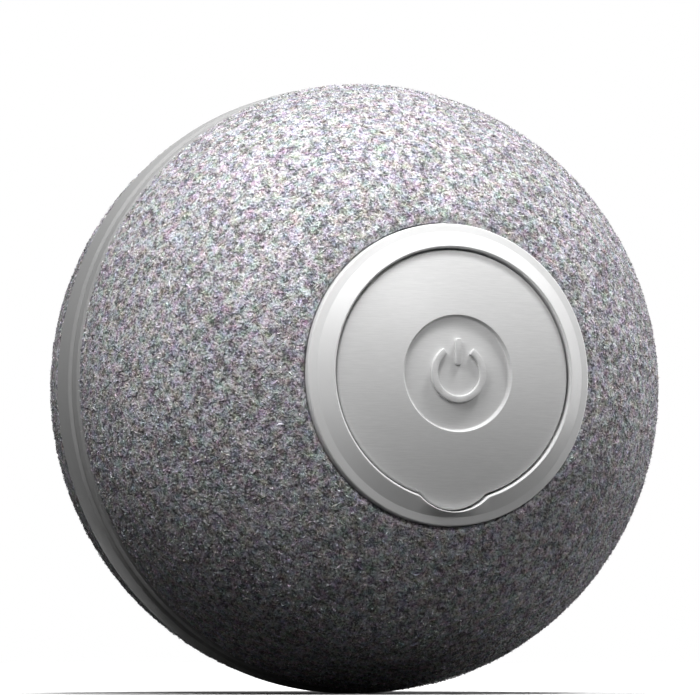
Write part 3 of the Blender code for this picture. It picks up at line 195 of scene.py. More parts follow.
def merge(parts):
    """Several (points, faces) pairs as one. Faces may have different numbers of corners."""
    verts, faces, start = [], [], 0
    for points, quads in parts:
        verts.append(np.asarray(points))
        faces += [[i + start for i in quad] for quad in (quads.tolist() if hasattr(quads, "tolist") else quads)]
        start += len(points)
    return np.concatenate(verts), faces


def soften(outline, radius, steps=4, loop=True):
    """The outline with each sharp corner rounded. radius is one value or one for each corner."""
    outline = [np.array(point, float) for point in outline]
    count = len(outline)
    sizes = [radius] * count if np.isscalar(radius) else list(radius)
    result = []
    for i, point in enumerate(outline):
        if not loop and i in (0, count - 1) or not sizes[i]:
            result.append(point)
            continue
        before = outline[i - 1] - point
        after = outline[(i + 1) % count] - point
        long_before, long_after = np.linalg.norm(before), np.linalg.norm(after)
        before, after = before / long_before, after / long_after
        between = math.acos(max(-1.0, min(1.0, float(before @ after))))
        if between > math.radians(172):
            result.append(point)
            continue
        cut = min(sizes[i] / math.tan(between / 2), 0.45 * long_before, 0.45 * long_after)
        start, end = point + before * cut, point + after * cut
        for step in range(steps + 1):
            t = step / steps
            result.append((1 - t) ** 2 * start + 2 * t * (1 - t) * point + t * t * end)
    return [tuple(point) for point in result]


def disc_rows(radius, y, rows=3):
    """Outline points from near the axis out to a radius at one height."""
    return [(radius * (0.002 + 0.998 * i / rows), y) for i in range(rows + 1)]


def tilt(value, low, high):
    """Smooth step from 0 at low to 1 at high."""
    t = np.clip((value - low) / (high - low), 0, 1)
    return t * t * (3 - 2 * t)


def waves(points, rng, size, octaves=3):
    """Smooth random field at points, from sums of sines of random direction, about -1 to 1."""
    total = np.zeros(len(points))
    weight = 1.0
    norm = 0.0
    for octave in range(octaves):
        wave = 2 * math.pi / (size / 2**octave)
        for _ in range(7):
            way = rng.normal(size=3)
            way /= np.linalg.norm(way)
            total += weight * np.sin(points @ way * wave + rng.uniform(0, 6.28))
        norm += weight * 7 * 0.4
        weight *= 0.55
    return total / norm


# Materials
class Finish:
    """A material whose nodes are added with short calls."""

    def __init__(self, name, color, roughness, metallic=0.0, **extra):
        self.material = bpy.data.materials.new(name)
        self.material.use_nodes = True
        self.tree = self.material.node_tree
        self.shader = self.tree.nodes["Principled BSDF"]
        self.shader.inputs["Base Color"].default_value = (*color, 1)
        self.shader.inputs["Roughness"].default_value = roughness
        self.shader.inputs["Metallic"].default_value = metallic
        for key, value in extra.items():
            self.shader.inputs[key.replace("_", " ")].default_value = value
        self.place = self.add("ShaderNodeTexCoord").outputs["Object"]

    def add(self, kind, **settings):
        node = self.tree.nodes.new(kind)
        for key, value in settings.items():
            setattr(node, key, value)
        return node

    def link(self, source, target):
        self.tree.links.new(source, target)

    def stretched(self, scale):
        """Object coordinates scaled differently along the axes."""
        node = self.add("ShaderNodeMapping")
        node.inputs["Scale"].default_value = scale
        self.link(self.place, node.inputs["Vector"])
        return node.outputs["Vector"]

    def noise(self, size_mm, detail=2.0, rough=0.5, place=None, distortion=0.0):
        node = self.add("ShaderNodeTexNoise")
        node.inputs["Scale"].default_value = 1 / (size_mm * MM)
        node.inputs["Detail"].default_value = detail
        node.inputs["Roughness"].default_value = rough
        node.inputs["Distortion"].default_value = distortion
        self.link(place or self.place, node.inputs["Vector"])
        return node.outputs["Fac"]

    def span(self, value, low, high, to_low=0.0, to_high=1.0):
        node = self.add("ShaderNodeMapRange")
        self.link(value, node.inputs["Value"])
        for key, number in (("From Min", low), ("From Max", high), ("To Min", to_low), ("To Max", to_high)):
            node.inputs[key].default_value = number
        return node.outputs["Result"]

    def ramp(self, value, *stops):
        node = self.add("ShaderNodeValToRGB")
        line = node.color_ramp
        while len(line.elements) < len(stops):
            line.elements.new(0.5)
        for element, (place, color) in zip(line.elements, stops):
            element.position = place
            element.color = (*color, 1)
        self.link(value, node.inputs["Fac"])
        return node.outputs["Color"]

    def mix(self, kind, factor, one, two):
        node = self.add("ShaderNodeMix", data_type="RGBA", blend_type=kind)
        for socket, value in ((node.inputs[0], factor), (node.inputs[6], one), (node.inputs[7], two)):
            if isinstance(value, (int, float)):
                socket.default_value = value
            elif isinstance(value, tuple):
                socket.default_value = (*value, 1)
            else:
                self.link(value, socket)
        return node.outputs[2]

    def maths(self, kind, one, two=0.0, three=0.0):
        node = self.add("ShaderNodeMath", operation=kind)
        for socket, value in zip(node.inputs, (one, two, three)):
            if isinstance(value, (int, float)):
                socket.default_value = value
            else:
                self.link(value, socket)
        return node.outputs[0]

    def color(self, value):
        self.link(value, self.shader.inputs["Base Color"])

    def rough(self, value):
        self.link(value, self.shader.inputs["Roughness"])

    def bump(self, value, depth_mm, strength=1.0):
        """Adds a bump of a depth in millimetres on top of what is there."""
        node = self.add("ShaderNodeBump")
        node.inputs["Strength"].default_value = strength
        node.inputs["Distance"].default_value = depth_mm * MM
        self.link(value, node.inputs["Height"])
        socket = self.shader.inputs["Normal"]
        if socket.links:
            self.link(socket.links[0].from_socket, node.inputs["Normal"])
        self.link(node.outputs["Normal"], socket)


def grey(value, tint=(0.0, 0.0, 0.0)):
    return tuple(value * (1 + part) for part in tint)


def felt_shade(f):
    """The heathered wool's colour: pale and dark specks in clumps, faint purple, green and brown among them."""
    warp = f.add("ShaderNodeTexNoise")
    warp.inputs["Scale"].default_value = 1 / (0.4 * MM)
    f.link(f.place, warp.inputs["Vector"])
    shift = f.add("ShaderNodeVectorMath", operation="MULTIPLY_ADD")
    f.link(warp.outputs["Color"], shift.inputs[0])
    shift.inputs[1].default_value = (0.25 * MM,) * 3
    f.link(f.place, shift.inputs[2])
    bent = shift.outputs[0]
    grain = f.noise(0.17, 2.5, 0.6, bent)
    clumps = f.noise(0.55, 2.0, 0.6, bent)
    cloud = f.noise(4.5, 2.0)
    level = f.maths("ADD", grain, f.span(clumps, 0.3, 0.7, -0.13, 0.13))
    level = f.maths("ADD", level, f.span(cloud, 0.3, 0.7, -0.02, 0.02))
    shade = f.ramp(level, (0.32, grey(0.145)), (0.42, grey(0.27)), (0.50, grey(0.44)), (0.60, grey(0.61)),
                   (0.70, grey(0.74)))
    tint = f.add("ShaderNodeTexNoise")
    tint.inputs["Scale"].default_value = 1 / (0.6 * MM)
    tint.inputs["Detail"].default_value = 2
    f.link(bent, tint.inputs["Vector"])
    vivid = f.add("ShaderNodeHueSaturation")
    vivid.inputs["Saturation"].default_value = 0.85
    f.link(tint.outputs["Color"], vivid.inputs["Color"])
    shade = f.mix("OVERLAY", 0.4, shade, vivid.outputs["Color"])
    shade = f.mix("MULTIPLY", 1.0, shade, (1.0, 0.98, 1.03))
    return shade, grain, clumps


def felt_finish():
    """The wool cover under its fibres."""
    f = Finish("heathered_felt", grey(0.3), 0.95)
    f.shader.inputs["Sheen Weight"].default_value = 0.06
    f.shader.inputs["Sheen Roughness"].default_value = 0.6
    f.shader.inputs["Specular IOR Level"].default_value = 0.08
    shade, grain, clumps = felt_shade(f)
    f.color(shade)
    f.bump(clumps, 0.14)
    f.bump(grain, 0.14)
    return f.material


def nap_finish():
    """Single fibres: the wool's colour where they lie, lighter or darker by the shade stored on each."""
    f = Finish("felt_fibres", grey(0.3), 0.8)
    stored = f.add("ShaderNodeAttribute", attribute_name="fibre_colour")
    shade = felt_shade(f)[0]
    f.color(f.mix("MULTIPLY", 1.0, shade, stored.outputs["Color"]))
    f.shader.inputs["Sheen Weight"].default_value = 0.04
    f.shader.inputs["Specular IOR Level"].default_value = 0.12
    return f.material


def plastic_finish(name, color, roughness, grain=0.012, grain_size=0.06, vary=0.06, gloss=0.5):
    """Moulded plastic with a fine sparked grain, faint flow clouding and small changes of gloss."""
    f = Finish(name, color, roughness)
    cloud = f.noise(3.5, 3.0, 0.55)
    fine = f.noise(grain_size, 2.0, 0.6)
    shade = f.ramp(f.span(cloud, 0.3, 0.7), (0.0, grey(1 - vary)), (1.0, grey(1 + vary * 0.5)))
    f.color(f.mix("MULTIPLY", 1.0, color, shade))
    f.rough(f.span(f.maths("ADD", cloud, f.maths("MULTIPLY", fine, 0.5)), 0.4, 1.1, roughness * 0.85, roughness * 1.2))
    f.bump(fine, grain, 0.6)
    f.shader.inputs["Specular IOR Level"].default_value = gloss
    return f.material


def lid_finish():
    """Satin silver-grey silicone with a faint level-running grain."""
    f = Finish("lid_silicone", grey(0.66), 0.3)
    f.shader.inputs["Specular IOR Level"].default_value = 0.2
    lines = f.noise(1.0, 3.0, 0.6, f.stretched((1.0, 1.0, 14.0)))
    fine = f.noise(0.05, 2.0, 0.6)
    cloud = f.noise(4.0, 2.0)
    shade = f.ramp(f.span(lines, 0.25, 0.75), (0.0, grey(0.93)), (1.0, grey(1.05)))
    f.color(f.mix("MULTIPLY", 1.0, grey(0.66), shade))
    f.rough(f.span(cloud, 0.3, 0.7, 0.28, 0.33))
    f.bump(fine, 0.006, 0.6)
    f.bump(lines, 0.004, 0.5)
    return f.material


def metal_finish(name, color, roughness, stretch=(1.0, 12.0, 1.0), size=0.5, depth=0.004, metallic=1.0):
    """Plated or drawn metal: long fine scratches along one axis, and some smudged gloss."""
    f = Finish(name, color, roughness, metallic)
    scratch = f.noise(size, 3.0, 0.65, f.stretched(stretch))
    smudge = f.noise(2.2, 3.0, 0.6)
    shade = f.ramp(f.span(smudge, 0.3, 0.75), (0.0, grey(0.84)), (1.0, grey(1.04)))
    f.color(f.mix("MULTIPLY", 1.0, color, shade))
    f.rough(f.span(scratch, 0.25, 0.75, roughness * 0.75, roughness * 1.35))
    f.bump(scratch, depth, 0.7)
    return f.material


def socket_finish():
    """Plated steel shell with a black moulding and gilt contact strips inside."""
    f = Finish("socket_steel", (0.6, 0.6, 0.6), 0.3, 1.0)
    smudge = f.noise(1.2, 3.0, 0.6)
    plate = f.mix("MULTIPLY", 1.0, (0.6, 0.6, 0.6), f.ramp(smudge, (0.3, grey(0.86)), (0.7, grey(1.02))))
    split = f.add("ShaderNodeSeparateXYZ")
    f.link(f.place, split.inputs[0])
    across = f.maths("ABSOLUTE", split.outputs["X"])
    socket_drop, pitch = 1.2 * MM, 0.5 * MM
    level = f.maths("ABSOLUTE", f.maths("ADD", split.outputs["Z"], socket_drop))
    inside = f.maths("MULTIPLY", f.span(across, 4.05 * MM, 3.95 * MM), f.span(level, 1.27 * MM, 1.22 * MM))
    wave = f.maths("COSINE", f.maths("MULTIPLY", split.outputs["X"], 2 * math.pi / pitch))
    strip = f.maths("GREATER_THAN", wave, 0.1)
    strip = f.maths("MULTIPLY", strip, f.maths("MULTIPLY", f.span(across, 2.9 * MM, 2.8 * MM),
                                               f.span(level, 0.5 * MM, 0.45 * MM)))
    moulding = f.mix("MIX", strip, grey(0.02), (0.55, 0.4, 0.16))
    f.color(f.mix("MIX", inside, plate, moulding))
    f.link(f.maths("MAXIMUM", f.maths("SUBTRACT", 1.0, inside), strip), f.shader.inputs["Metallic"])
    f.rough(f.span(inside, 0.0, 1.0, 0.28, 0.45))
    f.bump(smudge, 0.003)
    return f.material


def cast_finish():
    """Cast iron weight: blasted skin with pits and darker hollows."""
    f = Finish("cast_weight", (0.27, 0.275, 0.285), 0.5, 0.85)
    pits = f.add("ShaderNodeTexVoronoi", feature="F1")
    pits.inputs["Scale"].default_value = 1 / (0.5 * MM)
    f.link(f.place, pits.inputs["Vector"])
    skin_noise = f.noise(0.22, 4.0, 0.7)
    cloud = f.noise(3.0, 3.0)
    shade = f.ramp(f.span(skin_noise, 0.3, 0.7), (0.0, (0.15, 0.15, 0.16)), (1.0, (0.36, 0.365, 0.375)))
    f.color(f.mix("MULTIPLY", 0.35, shade, f.ramp(cloud, (0.3, grey(0.75)), (0.7, grey(1.0)))))
    f.rough(f.span(cloud, 0.3, 0.7, 0.42, 0.62))
    f.bump(pits.outputs["Distance"], 0.03, 0.5)
    f.bump(skin_noise, 0.03, 0.8)
    return f.material


def board_finish():
    """Green solder mask over copper tracks, with tinned pads here and there."""
    f = Finish("circuit_board", (0.015, 0.13, 0.05), 0.35)
    tracks = f.add("ShaderNodeTexBrick", offset=0.5, squash=1.0)
    tracks.inputs["Scale"].default_value = 1 / (2.6 * MM)
    tracks.inputs["Mortar Size"].default_value = 0.05
    tracks.inputs["Mortar Smooth"].default_value = 0.4
    turned_place = f.add("ShaderNodeMapping")
    turned_place.inputs["Rotation"].default_value = (math.radians(90), 0, 0)
    f.link(f.place, turned_place.inputs["Vector"])
    f.link(turned_place.outputs["Vector"], tracks.inputs["Vector"])
    line = tracks.outputs["Fac"]
    dots = f.add("ShaderNodeTexVoronoi", feature="F1", distance="CHEBYCHEV")
    dots.inputs["Scale"].default_value = 1 / (1.7 * MM)
    f.link(turned_place.outputs["Vector"], dots.inputs["Vector"])
    pad = f.span(dots.outputs["Distance"], 0.13, 0.11)
    mask = f.mix("MIX", line, (0.012, 0.11, 0.045), (0.03, 0.22, 0.08))
    f.color(f.mix("MIX", pad, mask, (0.62, 0.62, 0.6)))
    f.link(pad, f.shader.inputs["Metallic"])
    f.rough(f.span(f.noise(1.2, 3.0), 0.3, 0.7, 0.28, 0.42))
    f.bump(f.maths("ADD", line, pad), 0.02, 0.7)
    return f.material


def chip_finish():
    """Moulded epoxy with a fine matt grain."""
    f = Finish("component_black", grey(0.02), 0.55)
    fine = f.noise(0.05, 3.0, 0.7)
    f.color(f.ramp(f.span(fine, 0.3, 0.7), (0.0, grey(0.014)), (1.0, grey(0.035))))
    f.rough(f.span(f.noise(0.8, 2.0), 0.3, 0.7, 0.48, 0.62))
    f.bump(fine, 0.01, 0.7)
    return f.material


def foil_finish():
    """Pouch cell foil: satin aluminium with soft creases."""
    f = Finish("battery_foil", (0.55, 0.56, 0.58), 0.32, 0.9)
    crease = f.noise(1.6, 4.0, 0.6, distortion=1.2)
    f.color(f.ramp(f.span(crease, 0.3, 0.7), (0.0, (0.44, 0.45, 0.47)), (1.0, (0.64, 0.65, 0.67))))
    f.rough(f.span(f.noise(0.4, 3.0), 0.3, 0.7, 0.26, 0.42))
    f.bump(crease, 0.12, 0.6)
    return f.material


def clear_finish():
    """Light guide: clear moulded acrylic with faint flow lines."""
    f = Finish("light_guide", (0.86, 0.89, 0.92), 0.12, IOR=1.49)
    f.shader.inputs["Transmission Weight"].default_value = 0.6
    flow = f.noise(0.8, 3.0, distortion=0.8)
    f.color(f.ramp(f.span(flow, 0.3, 0.7), (0.0, (0.78, 0.82, 0.86)), (1.0, (0.9, 0.93, 0.95))))
    f.rough(f.span(flow, 0.3, 0.7, 0.08, 0.2))
    f.bump(flow, 0.02, 0.4)
    return f.material


felt = felt_finish()
nap_material = nap_finish()
shell = plastic_finish("shell_plastic", grey(0.34), 0.42, grain=0.005, gloss=0.03)
rim = plastic_finish("rim_plastic", grey(0.74), 0.4, grain=0.001, vary=0.03, gloss=0.12)
silicone = lid_finish()
seal = plastic_finish("seal_rubber", grey(0.03), 0.7, grain=0.02, vary=0.2)
dark = plastic_finish("dark_plastic", (0.05, 0.05, 0.054), 0.5, grain=0.02, vary=0.15, gloss=0.2)
gear = plastic_finish("gear_plastic", (0.78, 0.77, 0.71), 0.36, grain=0.006, vary=0.06)
steel = metal_finish("steel", (0.6, 0.6, 0.6), 0.28)
socket = socket_finish()
cast = cast_finish()
brass = metal_finish("brass", (0.72, 0.52, 0.22), 0.3, (8.0, 1.0, 8.0), 0.3, 0.006)
board = board_finish()
chip = chip_finish()
clear = clear_finish()
foil = foil_finish()
red = plastic_finish("lead_red", (0.5, 0.025, 0.025), 0.42, grain=0.01, vary=0.12)
black = plastic_finish("lead_black", grey(0.02), 0.42, grain=0.01, vary=0.2)
SLOT_FINISH = {
    "grey_felt": felt, "shell_plastic": shell, "rim_plastic": rim, "lid_silicone": silicone, "seal_rubber": seal,
    "dark_plastic": dark, "gear_plastic": gear, "steel": steel, "cast_weight": cast, "brass": brass,
    "circuit_board": board, "component_black": chip, "light_guide": clear, "battery_foil": foil, "lead_red": red,
    "lead_black": black,
}


def dress_nodes():
    """Gives every carried-over CAD node its procedural material."""
    for entry in frame["record"]["subparts"]:
        node = frame["nodes"][entry["node"]]
        node.data.materials.clear()
        node.data.materials.append(SLOT_FINISH[entry["material_slot"]])
    frame["nodes"]["usb_socket"].data.materials[0] = socket


# Felt
def felt_half(name, side, cad_node):
    """One felt cover: a thick sheet with a rolled cut edge at the belt and at the rim, and a lumpy nap."""
    rng = np.random.default_rng(11 if side < 0 else 12)
    low, high = (BELT_HALF if side < 0 else BELT_REAR) + BELT_GAP, skin_height(RIM_RADIUS + FELT_GAP)
    first, last = skin_angle(low), skin_angle(high)
    outer = np.stack(skin(np.linspace(first, last, 150)), 1)
    edge = skin_height(RIM_RADIUS + FELT_GAP, FELT_THICKNESS)
    inner = np.stack(skin(np.linspace(skin_angle(low, FELT_THICKNESS), skin_angle(edge, FELT_THICKNESS), 24),
                          FELT_THICKNESS), 1)[::-1]
    along = np.linspace(0, 1, len(outer))
    arc = along * FELT_ARC
    roll = BELT_ROLL * np.exp(-((arc / BELT_ROLL_WIDTH) ** 2))
    roll = roll + RIM_ROLL * np.exp(-(((FELT_ARC - arc) / RIM_ROLL_WIDTH) ** 2))
    normal = np.gradient(outer, axis=0)
    normal = np.stack([normal[:, 1], -normal[:, 0]], 1)
    normal /= np.linalg.norm(normal, axis=1)[:, None]
    outer = outer - normal * roll[:, None]
    outline = np.concatenate([outer, inner])
    outline[:, 1] *= side
    verts, faces = turn(outline, FELT_COLUMNS)
    size = np.linalg.norm(verts, axis=1)
    out = np.zeros((len(outline), FELT_COLUMNS))
    out[: len(outer)] = 1
    out = out.reshape(-1)
    lumps = 0.035 * waves(verts, rng, 2.6, 3) + 0.012 * waves(verts, rng, 0.5, 2) - 0.03
    verts = verts * (1 + out * lumps / size)[:, None]
    made = build(name, verts, faces, felt, 180)
    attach(made, "casing")
    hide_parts(cad_node)


def fibre_places(rng, count, side):
    """Random places on the felt's outer skin with their frames."""
    first = skin_angle((BELT_HALF if side < 0 else BELT_REAR) + FELT_GAP + (0.42 if side < 0 else 0.15))
    last = skin_angle(skin_height(RIM_RADIUS + FELT_GAP + 0.15))
    table = np.linspace(first, last, 600)
    radius, height = skin(table)
    step = np.hypot(np.gradient(radius), np.gradient(height)) * radius
    share = np.cumsum(step)
    angle = np.interp(rng.uniform(0, share[-1], count), share, table)
    radius, height = skin(angle)
    small = 1e-4
    radius_two, height_two = skin(angle + small)
    along = np.stack([radius_two - radius, height_two - height], 1)
    along /= np.linalg.norm(along, axis=1)[:, None]
    turn_angle = rng.uniform(0, 2 * math.pi, count)
    s, c = np.sin(turn_angle), np.cos(turn_angle)
    place = np.stack([radius * s, side * height, radius * c], 1)
    first_way = np.stack([c, np.zeros(count), -s], 1)
    second_way = np.stack([along[:, 0] * s, side * along[:, 1], along[:, 0] * c], 1)
    out = np.cross(first_way, second_way)
    out *= np.sign(np.einsum("ij,ij->i", out, place))[:, None]
    return place, first_way, second_way, out


def ribbons(name, place, ways, lateral, rise, width, colour, finish):
    """Thin ribbons. place is each one's start, ways its frame, lateral its path in the surface."""
    one, two, out = ways
    count, steps = lateral.shape[:2]
    sag = (lateral**2).sum(2) / 41.0
    path = (place[:, None, :] + lateral[..., 0:1] * one[:, None, :] + lateral[..., 1:2] * two[:, None, :]
            + (rise - sag)[..., None] * out[:, None, :])
    along = np.gradient(path, axis=1)
    flat = out[:, None, :] + width[1][:, None, None] * np.cross(along, out[:, None, :]) / (
        np.linalg.norm(along, axis=2)[..., None] + 1e-9)
    across = np.cross(along, flat)
    across /= np.linalg.norm(across, axis=2)[..., None] + 1e-9
    taper = np.sin(np.linspace(0.22, 0.86, steps) * math.pi)[None, :, None]
    half = across * taper * width[0][:, None, None] / 2
    verts = np.stack([path - half, path + half], 2).reshape(-1, 3)
    base = (np.arange(count) * steps * 2)[:, None] + (np.arange(steps - 1) * 2)[None, :]
    faces = np.stack([base, base + 1, base + 3, base + 2], -1).reshape(-1, 4)
    made = build(name, verts, faces, finish, 180)
    layer = made.data.color_attributes.new("fibre_colour", "FLOAT_COLOR", "POINT")
    shades = np.ones((count, steps * 2, 4))
    shades[..., :3] = colour[:, None, :]
    layer.data.foreach_set("color", shades.reshape(-1))
    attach(made, "casing")


def wool_colours(rng, count):
    """Each fibre's shade against the wool round it, with a faint tint."""
    level = np.exp(rng.normal(0, 0.22, count)) * 1.04
    tints = np.array([[1, 1, 1], [1.06, 0.96, 1.05], [0.97, 1.03, 0.98], [1.03, 1.0, 0.96], [0.97, 0.98, 1.06]])
    return np.clip(level[:, None] * tints[rng.integers(0, len(tints), count)], 0.2, 1.8)


def nap(name, side, seed, lying, standing):
    """Lying, curved wool fibres, and shorter ones that stand out of the felt."""
    rng = np.random.default_rng(seed)
    count = lying + standing
    place, one, two, out = fibre_places(rng, count, side)
    steps = 4
    s = np.linspace(0, 1, steps)[None, :]
    is_lying = np.arange(count) < lying
    long = np.where(rng.uniform(size=count) < 0.07, rng.uniform(0.35, 0.7, count), rng.uniform(0.1, 0.26, count))
    length = np.where(is_lying, long, rng.uniform(0.1, 0.26, count))[:, None]
    heading = rng.uniform(0, 2 * math.pi, count)[:, None]
    bend = np.clip(rng.normal(0, 0.9, count), -2, 2)[:, None]
    lean = np.where(is_lying, 1.0, rng.uniform(0.2, 0.8, count))[:, None]
    angle = heading + bend * (s - 0.5)
    step = length * lean / (steps - 1)
    lateral = np.stack([np.cumsum(np.cos(angle) * step, 1), np.cumsum(np.sin(angle) * step, 1)], 2)
    lateral -= np.where(is_lying[:, None, None], lateral.mean(1, keepdims=True), 0)
    arch = rng.uniform(0.01, 0.09 if side < 0 else 0.05, count)[:, None] * np.sin(s * math.pi)
    arch = arch + rng.uniform(-0.03, 0.02, count)[:, None]
    stand = -0.05 + length * np.sqrt(1 - lean**2) * s ** 0.85
    rise = np.where(is_lying[:, None], arch, stand)
    width = np.where(is_lying, rng.uniform(0.05, 0.1, count), rng.uniform(0.02, 0.035, count))
    roll = rng.normal(0, 0.5, count)
    ribbons(name, place, (one, two, out), lateral, rise, (width, roll), wool_colours(rng, count), nap_material)


# Shells, rims and the far cap
def belt_outline(parting, side, step, half):
    """The outside of a shell from its parting face over the belt, under the felt, to the pole."""
    top = BALL_RADIUS - step
    edge = skin_radius(half) + BELT_PROUD - step
    start = PARTING_HALF - side * PARTING_SHIFT
    points = [(BALL_RADIUS - PARTING_DEPTH, start), (top - parting, start), (top, start + parting),
              (edge, half - BELT_CHAMFER), (edge - BELT_CHAMFER, half), (skin_radius(half, SHELL_DEPTH), half)]
    rounded = soften(points, (0, 0.03, 0.03, 0.03, 0.03, 0), 3, loop=False)
    angles = np.linspace(skin_angle(half, SHELL_DEPTH), skin_angle(LAND, SHELL_DEPTH), 26)
    return rounded[:-1] + [tuple(p) for p in np.stack(skin(angles, SHELL_DEPTH), 1)]


def inside_outline(low, depth):
    """The inside of a shell from the pole down to a height."""
    angles = np.linspace(skin_angle(POLE_INSIDE, depth), skin_angle(low, depth) if low else 0, 24)
    return [tuple(p) for p in np.stack(skin(angles, depth), 1)]


def flip(outline, side):
    return [(radius, side * y) for radius, y in outline]


def front_half():
    """Front shell with its belt half, its tongue and the bosses for the chassis screws."""
    depth = SHELL_DEPTH + SHELL_WALL
    inner = BALL_RADIUS - depth
    outline = belt_outline(FRONT_PARTING_CORNER, -1, BELT_STEP, BELT_HALF)
    outline += soften([(OPENING, LAND), (OPENING, POLE_INSIDE)], 0.1, 3, loop=False)
    outline += inside_outline(0, depth)
    outline += [(inner, -TONGUE), (inner + TONGUE_WALL, -TONGUE), (inner + TONGUE_WALL, PARTING_HALF + PARTING_SHIFT)]
    parts = [turn(flip(outline, -1), SHELL_COLUMNS)]
    for degrees in (30, 150, 270):
        x, z = BOSS_CIRCLE * math.cos(math.radians(degrees)), BOSS_CIRCLE * math.sin(math.radians(degrees))
        boss = [(0.66, -8.21), (1.5, -8.21), (1.6, -8.31), (1.6, -13.6), (0.66, -13.6)]
        parts.append(turn(boss, 48, (x, z)))
    made = build("belt_front", *merge(parts), shell)
    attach(made, "casing")
    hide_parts("front_shell")


def rear_half():
    """Rear shell with its belt half, the axle's socket inside and the rebate for the tongue."""
    depth = SHELL_DEPTH + SHELL_WALL
    rebate = BALL_RADIUS - depth + REBATE_WIDTH
    outline = belt_outline(REAR_PARTING_CORNER, 1, 0.0, BELT_REAR)
    outline += [(0.03, LAND), (0.03, POLE_INSIDE), (1.02, POLE_INSIDE)]
    outline += soften([(1.02, POLE_INSIDE), (1.02, 12.41), (2.12, 12.41), (2.12, POLE_INSIDE)], 0.1, 3, loop=False)[1:]
    outline += inside_outline(REBATE_END, depth)
    outline += [(rebate, REBATE_END), (rebate, PARTING_HALF - PARTING_SHIFT)]
    made = build("belt_rear", *turn(outline, SHELL_COLUMNS), shell)
    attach(made, "casing")
    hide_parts("rear_shell")


def lid_edge(angle, grow=0.0):
    """Distance from the axis to the lid's edge, thumb lobe and its fillets included."""
    way = np.cos(angle)
    reach = LOBE_Z * way
    inside = np.maximum(reach**2 - LOBE_Z**2 + (LOBE_RADIUS + grow) ** 2, 0)
    lobe = np.where(way < 0, reach + np.sqrt(inside), 0.0)
    plain = LID_RADIUS + grow
    soft = 0.1
    near = np.maximum(soft - np.abs(plain - lobe), 0) / soft
    return np.maximum(plain, lobe) + near**2 * soft / 4


def lid_angles(count):
    """Turning angles, closer together round the lobe."""
    even = np.linspace(0, 1, count, endpoint=False)
    return math.pi * (2 * even + 0.55 * np.sin(2 * math.pi * even) / math.pi)


def polar(rows, angle):
    """Points from rows of (radius at each angle, y at each angle)."""
    points = np.empty((len(rows), len(angle), 3))
    for i, (radius, y) in enumerate(rows):
        points[i, :, 0] = radius * np.sin(angle)
        points[i, :, 1] = y
        points[i, :, 2] = radius * np.cos(angle)
    return points


def rim_profile():
    """Rows over the rim's face as (radius, share, height): share 0 follows the lid's edge, 1 the radius."""
    corners = [(RIM_INNER, RIM_TOP - 0.4), (RIM_INNER, RIM_TOP - 0.13), (RIM_INNER + 0.12, RIM_TOP - 0.01),
               (RIM_FLANGE, RIM_FLANGE_TOP + 0.03), (RIM_RADIUS - 0.07, RIM_FLANGE_TOP - 0.1),
               (RIM_RADIUS, RIM_FLANGE_TOP - 0.18), (RIM_RADIUS, RIM_EDGE - 0.3)]
    outline = soften(corners, (0, 0.04, 0.06, 0.09, 0.04, 0.04, 0), 5, loop=False)
    rows = []
    for (r0, y0), (r1, y1) in zip(outline, outline[1:]):
        spans = max(1, math.ceil(math.hypot(r1 - r0, y1 - y0) / 0.12))
        rows += [(r0 + (r1 - r0) * i / spans, y0 + (y1 - y0) * i / spans) for i in range(spans)]
    rows.append(outline[-1])
    reach = RIM_FLANGE - RIM_INNER
    return [(radius, min(1.0, (radius - RIM_INNER) / reach), height) for radius, height in rows]


def front_bezel():
    """The port's rim with its lobe notch, ledge and well, softly rounded along every edge."""
    angle = lid_angles(BEZEL_COLUMNS)
    inner = lid_edge(angle, SEAM)
    ones = np.ones_like(angle)
    rows = [(WELL_INNER * ones, -PANEL_STEP - 0.2), (WELL_INNER * ones, -LEDGE + 0.08)]
    rows.append(((WELL_INNER + 0.08) * ones, -LEDGE))
    rows += [(inner - 0.05, -LEDGE), (inner, -LEDGE - 0.05)]
    for radius, share, height in rim_profile():
        rows.append((inner * (1 - share) + max(radius, RIM_FLANGE) * share, -height * ones))
    rows += [(RIM_RADIUS * ones, -RIM_BASE), (WELL_OUTER * ones, -RIM_BASE), (WELL_OUTER * ones, -PANEL_STEP - 0.2)]
    verts, faces = lattice(polar(rows, angle), True)
    made = build("port_bezel", verts, faces, rim, 40)
    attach(made, "casing")
    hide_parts("front_rim")


def far_bezel():
    """The rim at the rear pole and the plain cap in it."""
    face = [(RIM_INNER, RIM_BASE)] + [(radius, height) for radius, _, height in rim_profile()]
    face.append((RIM_RADIUS, RIM_BASE))
    made = build("far_bezel", *turn(face, SHELL_COLUMNS), rim, 40)
    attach(made, "casing")
    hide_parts("rear_rim")
    cap = disc_rows(LID_RADIUS - 0.3, RIM_TOP - 0.02, 8)
    cap += soften([(LID_RADIUS - 0.3, RIM_TOP - 0.02), (LID_RADIUS, RIM_TOP - 0.02), (LID_RADIUS, RIM_BASE),
                   (WELL_INNER, RIM_BASE), (WELL_INNER, LID_BACK)], (0, 0.15, 0.05, 0.05, 0.05), 5, loop=False)[1:]
    cap += disc_rows(WELL_INNER - 0.1, LID_BACK, 3)[::-1]
    made = build("far_cap", *turn(cap, 240), shell)
    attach(made, "casing")
    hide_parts("rear_end_cap")


def lid_height(radius):
    """How far the lid's face stands from the middle plane: a slight dome with a round dish in it."""
    dome = LID_DOME * (1 - (radius / LID_RADIUS) ** 2)
    dish = DISH_DEPTH * (1 - tilt(radius, DISH_RADIUS - 0.13, DISH_RADIUS + 0.05))
    return LID_FACE - LID_EDGE_DROP + dome - dish


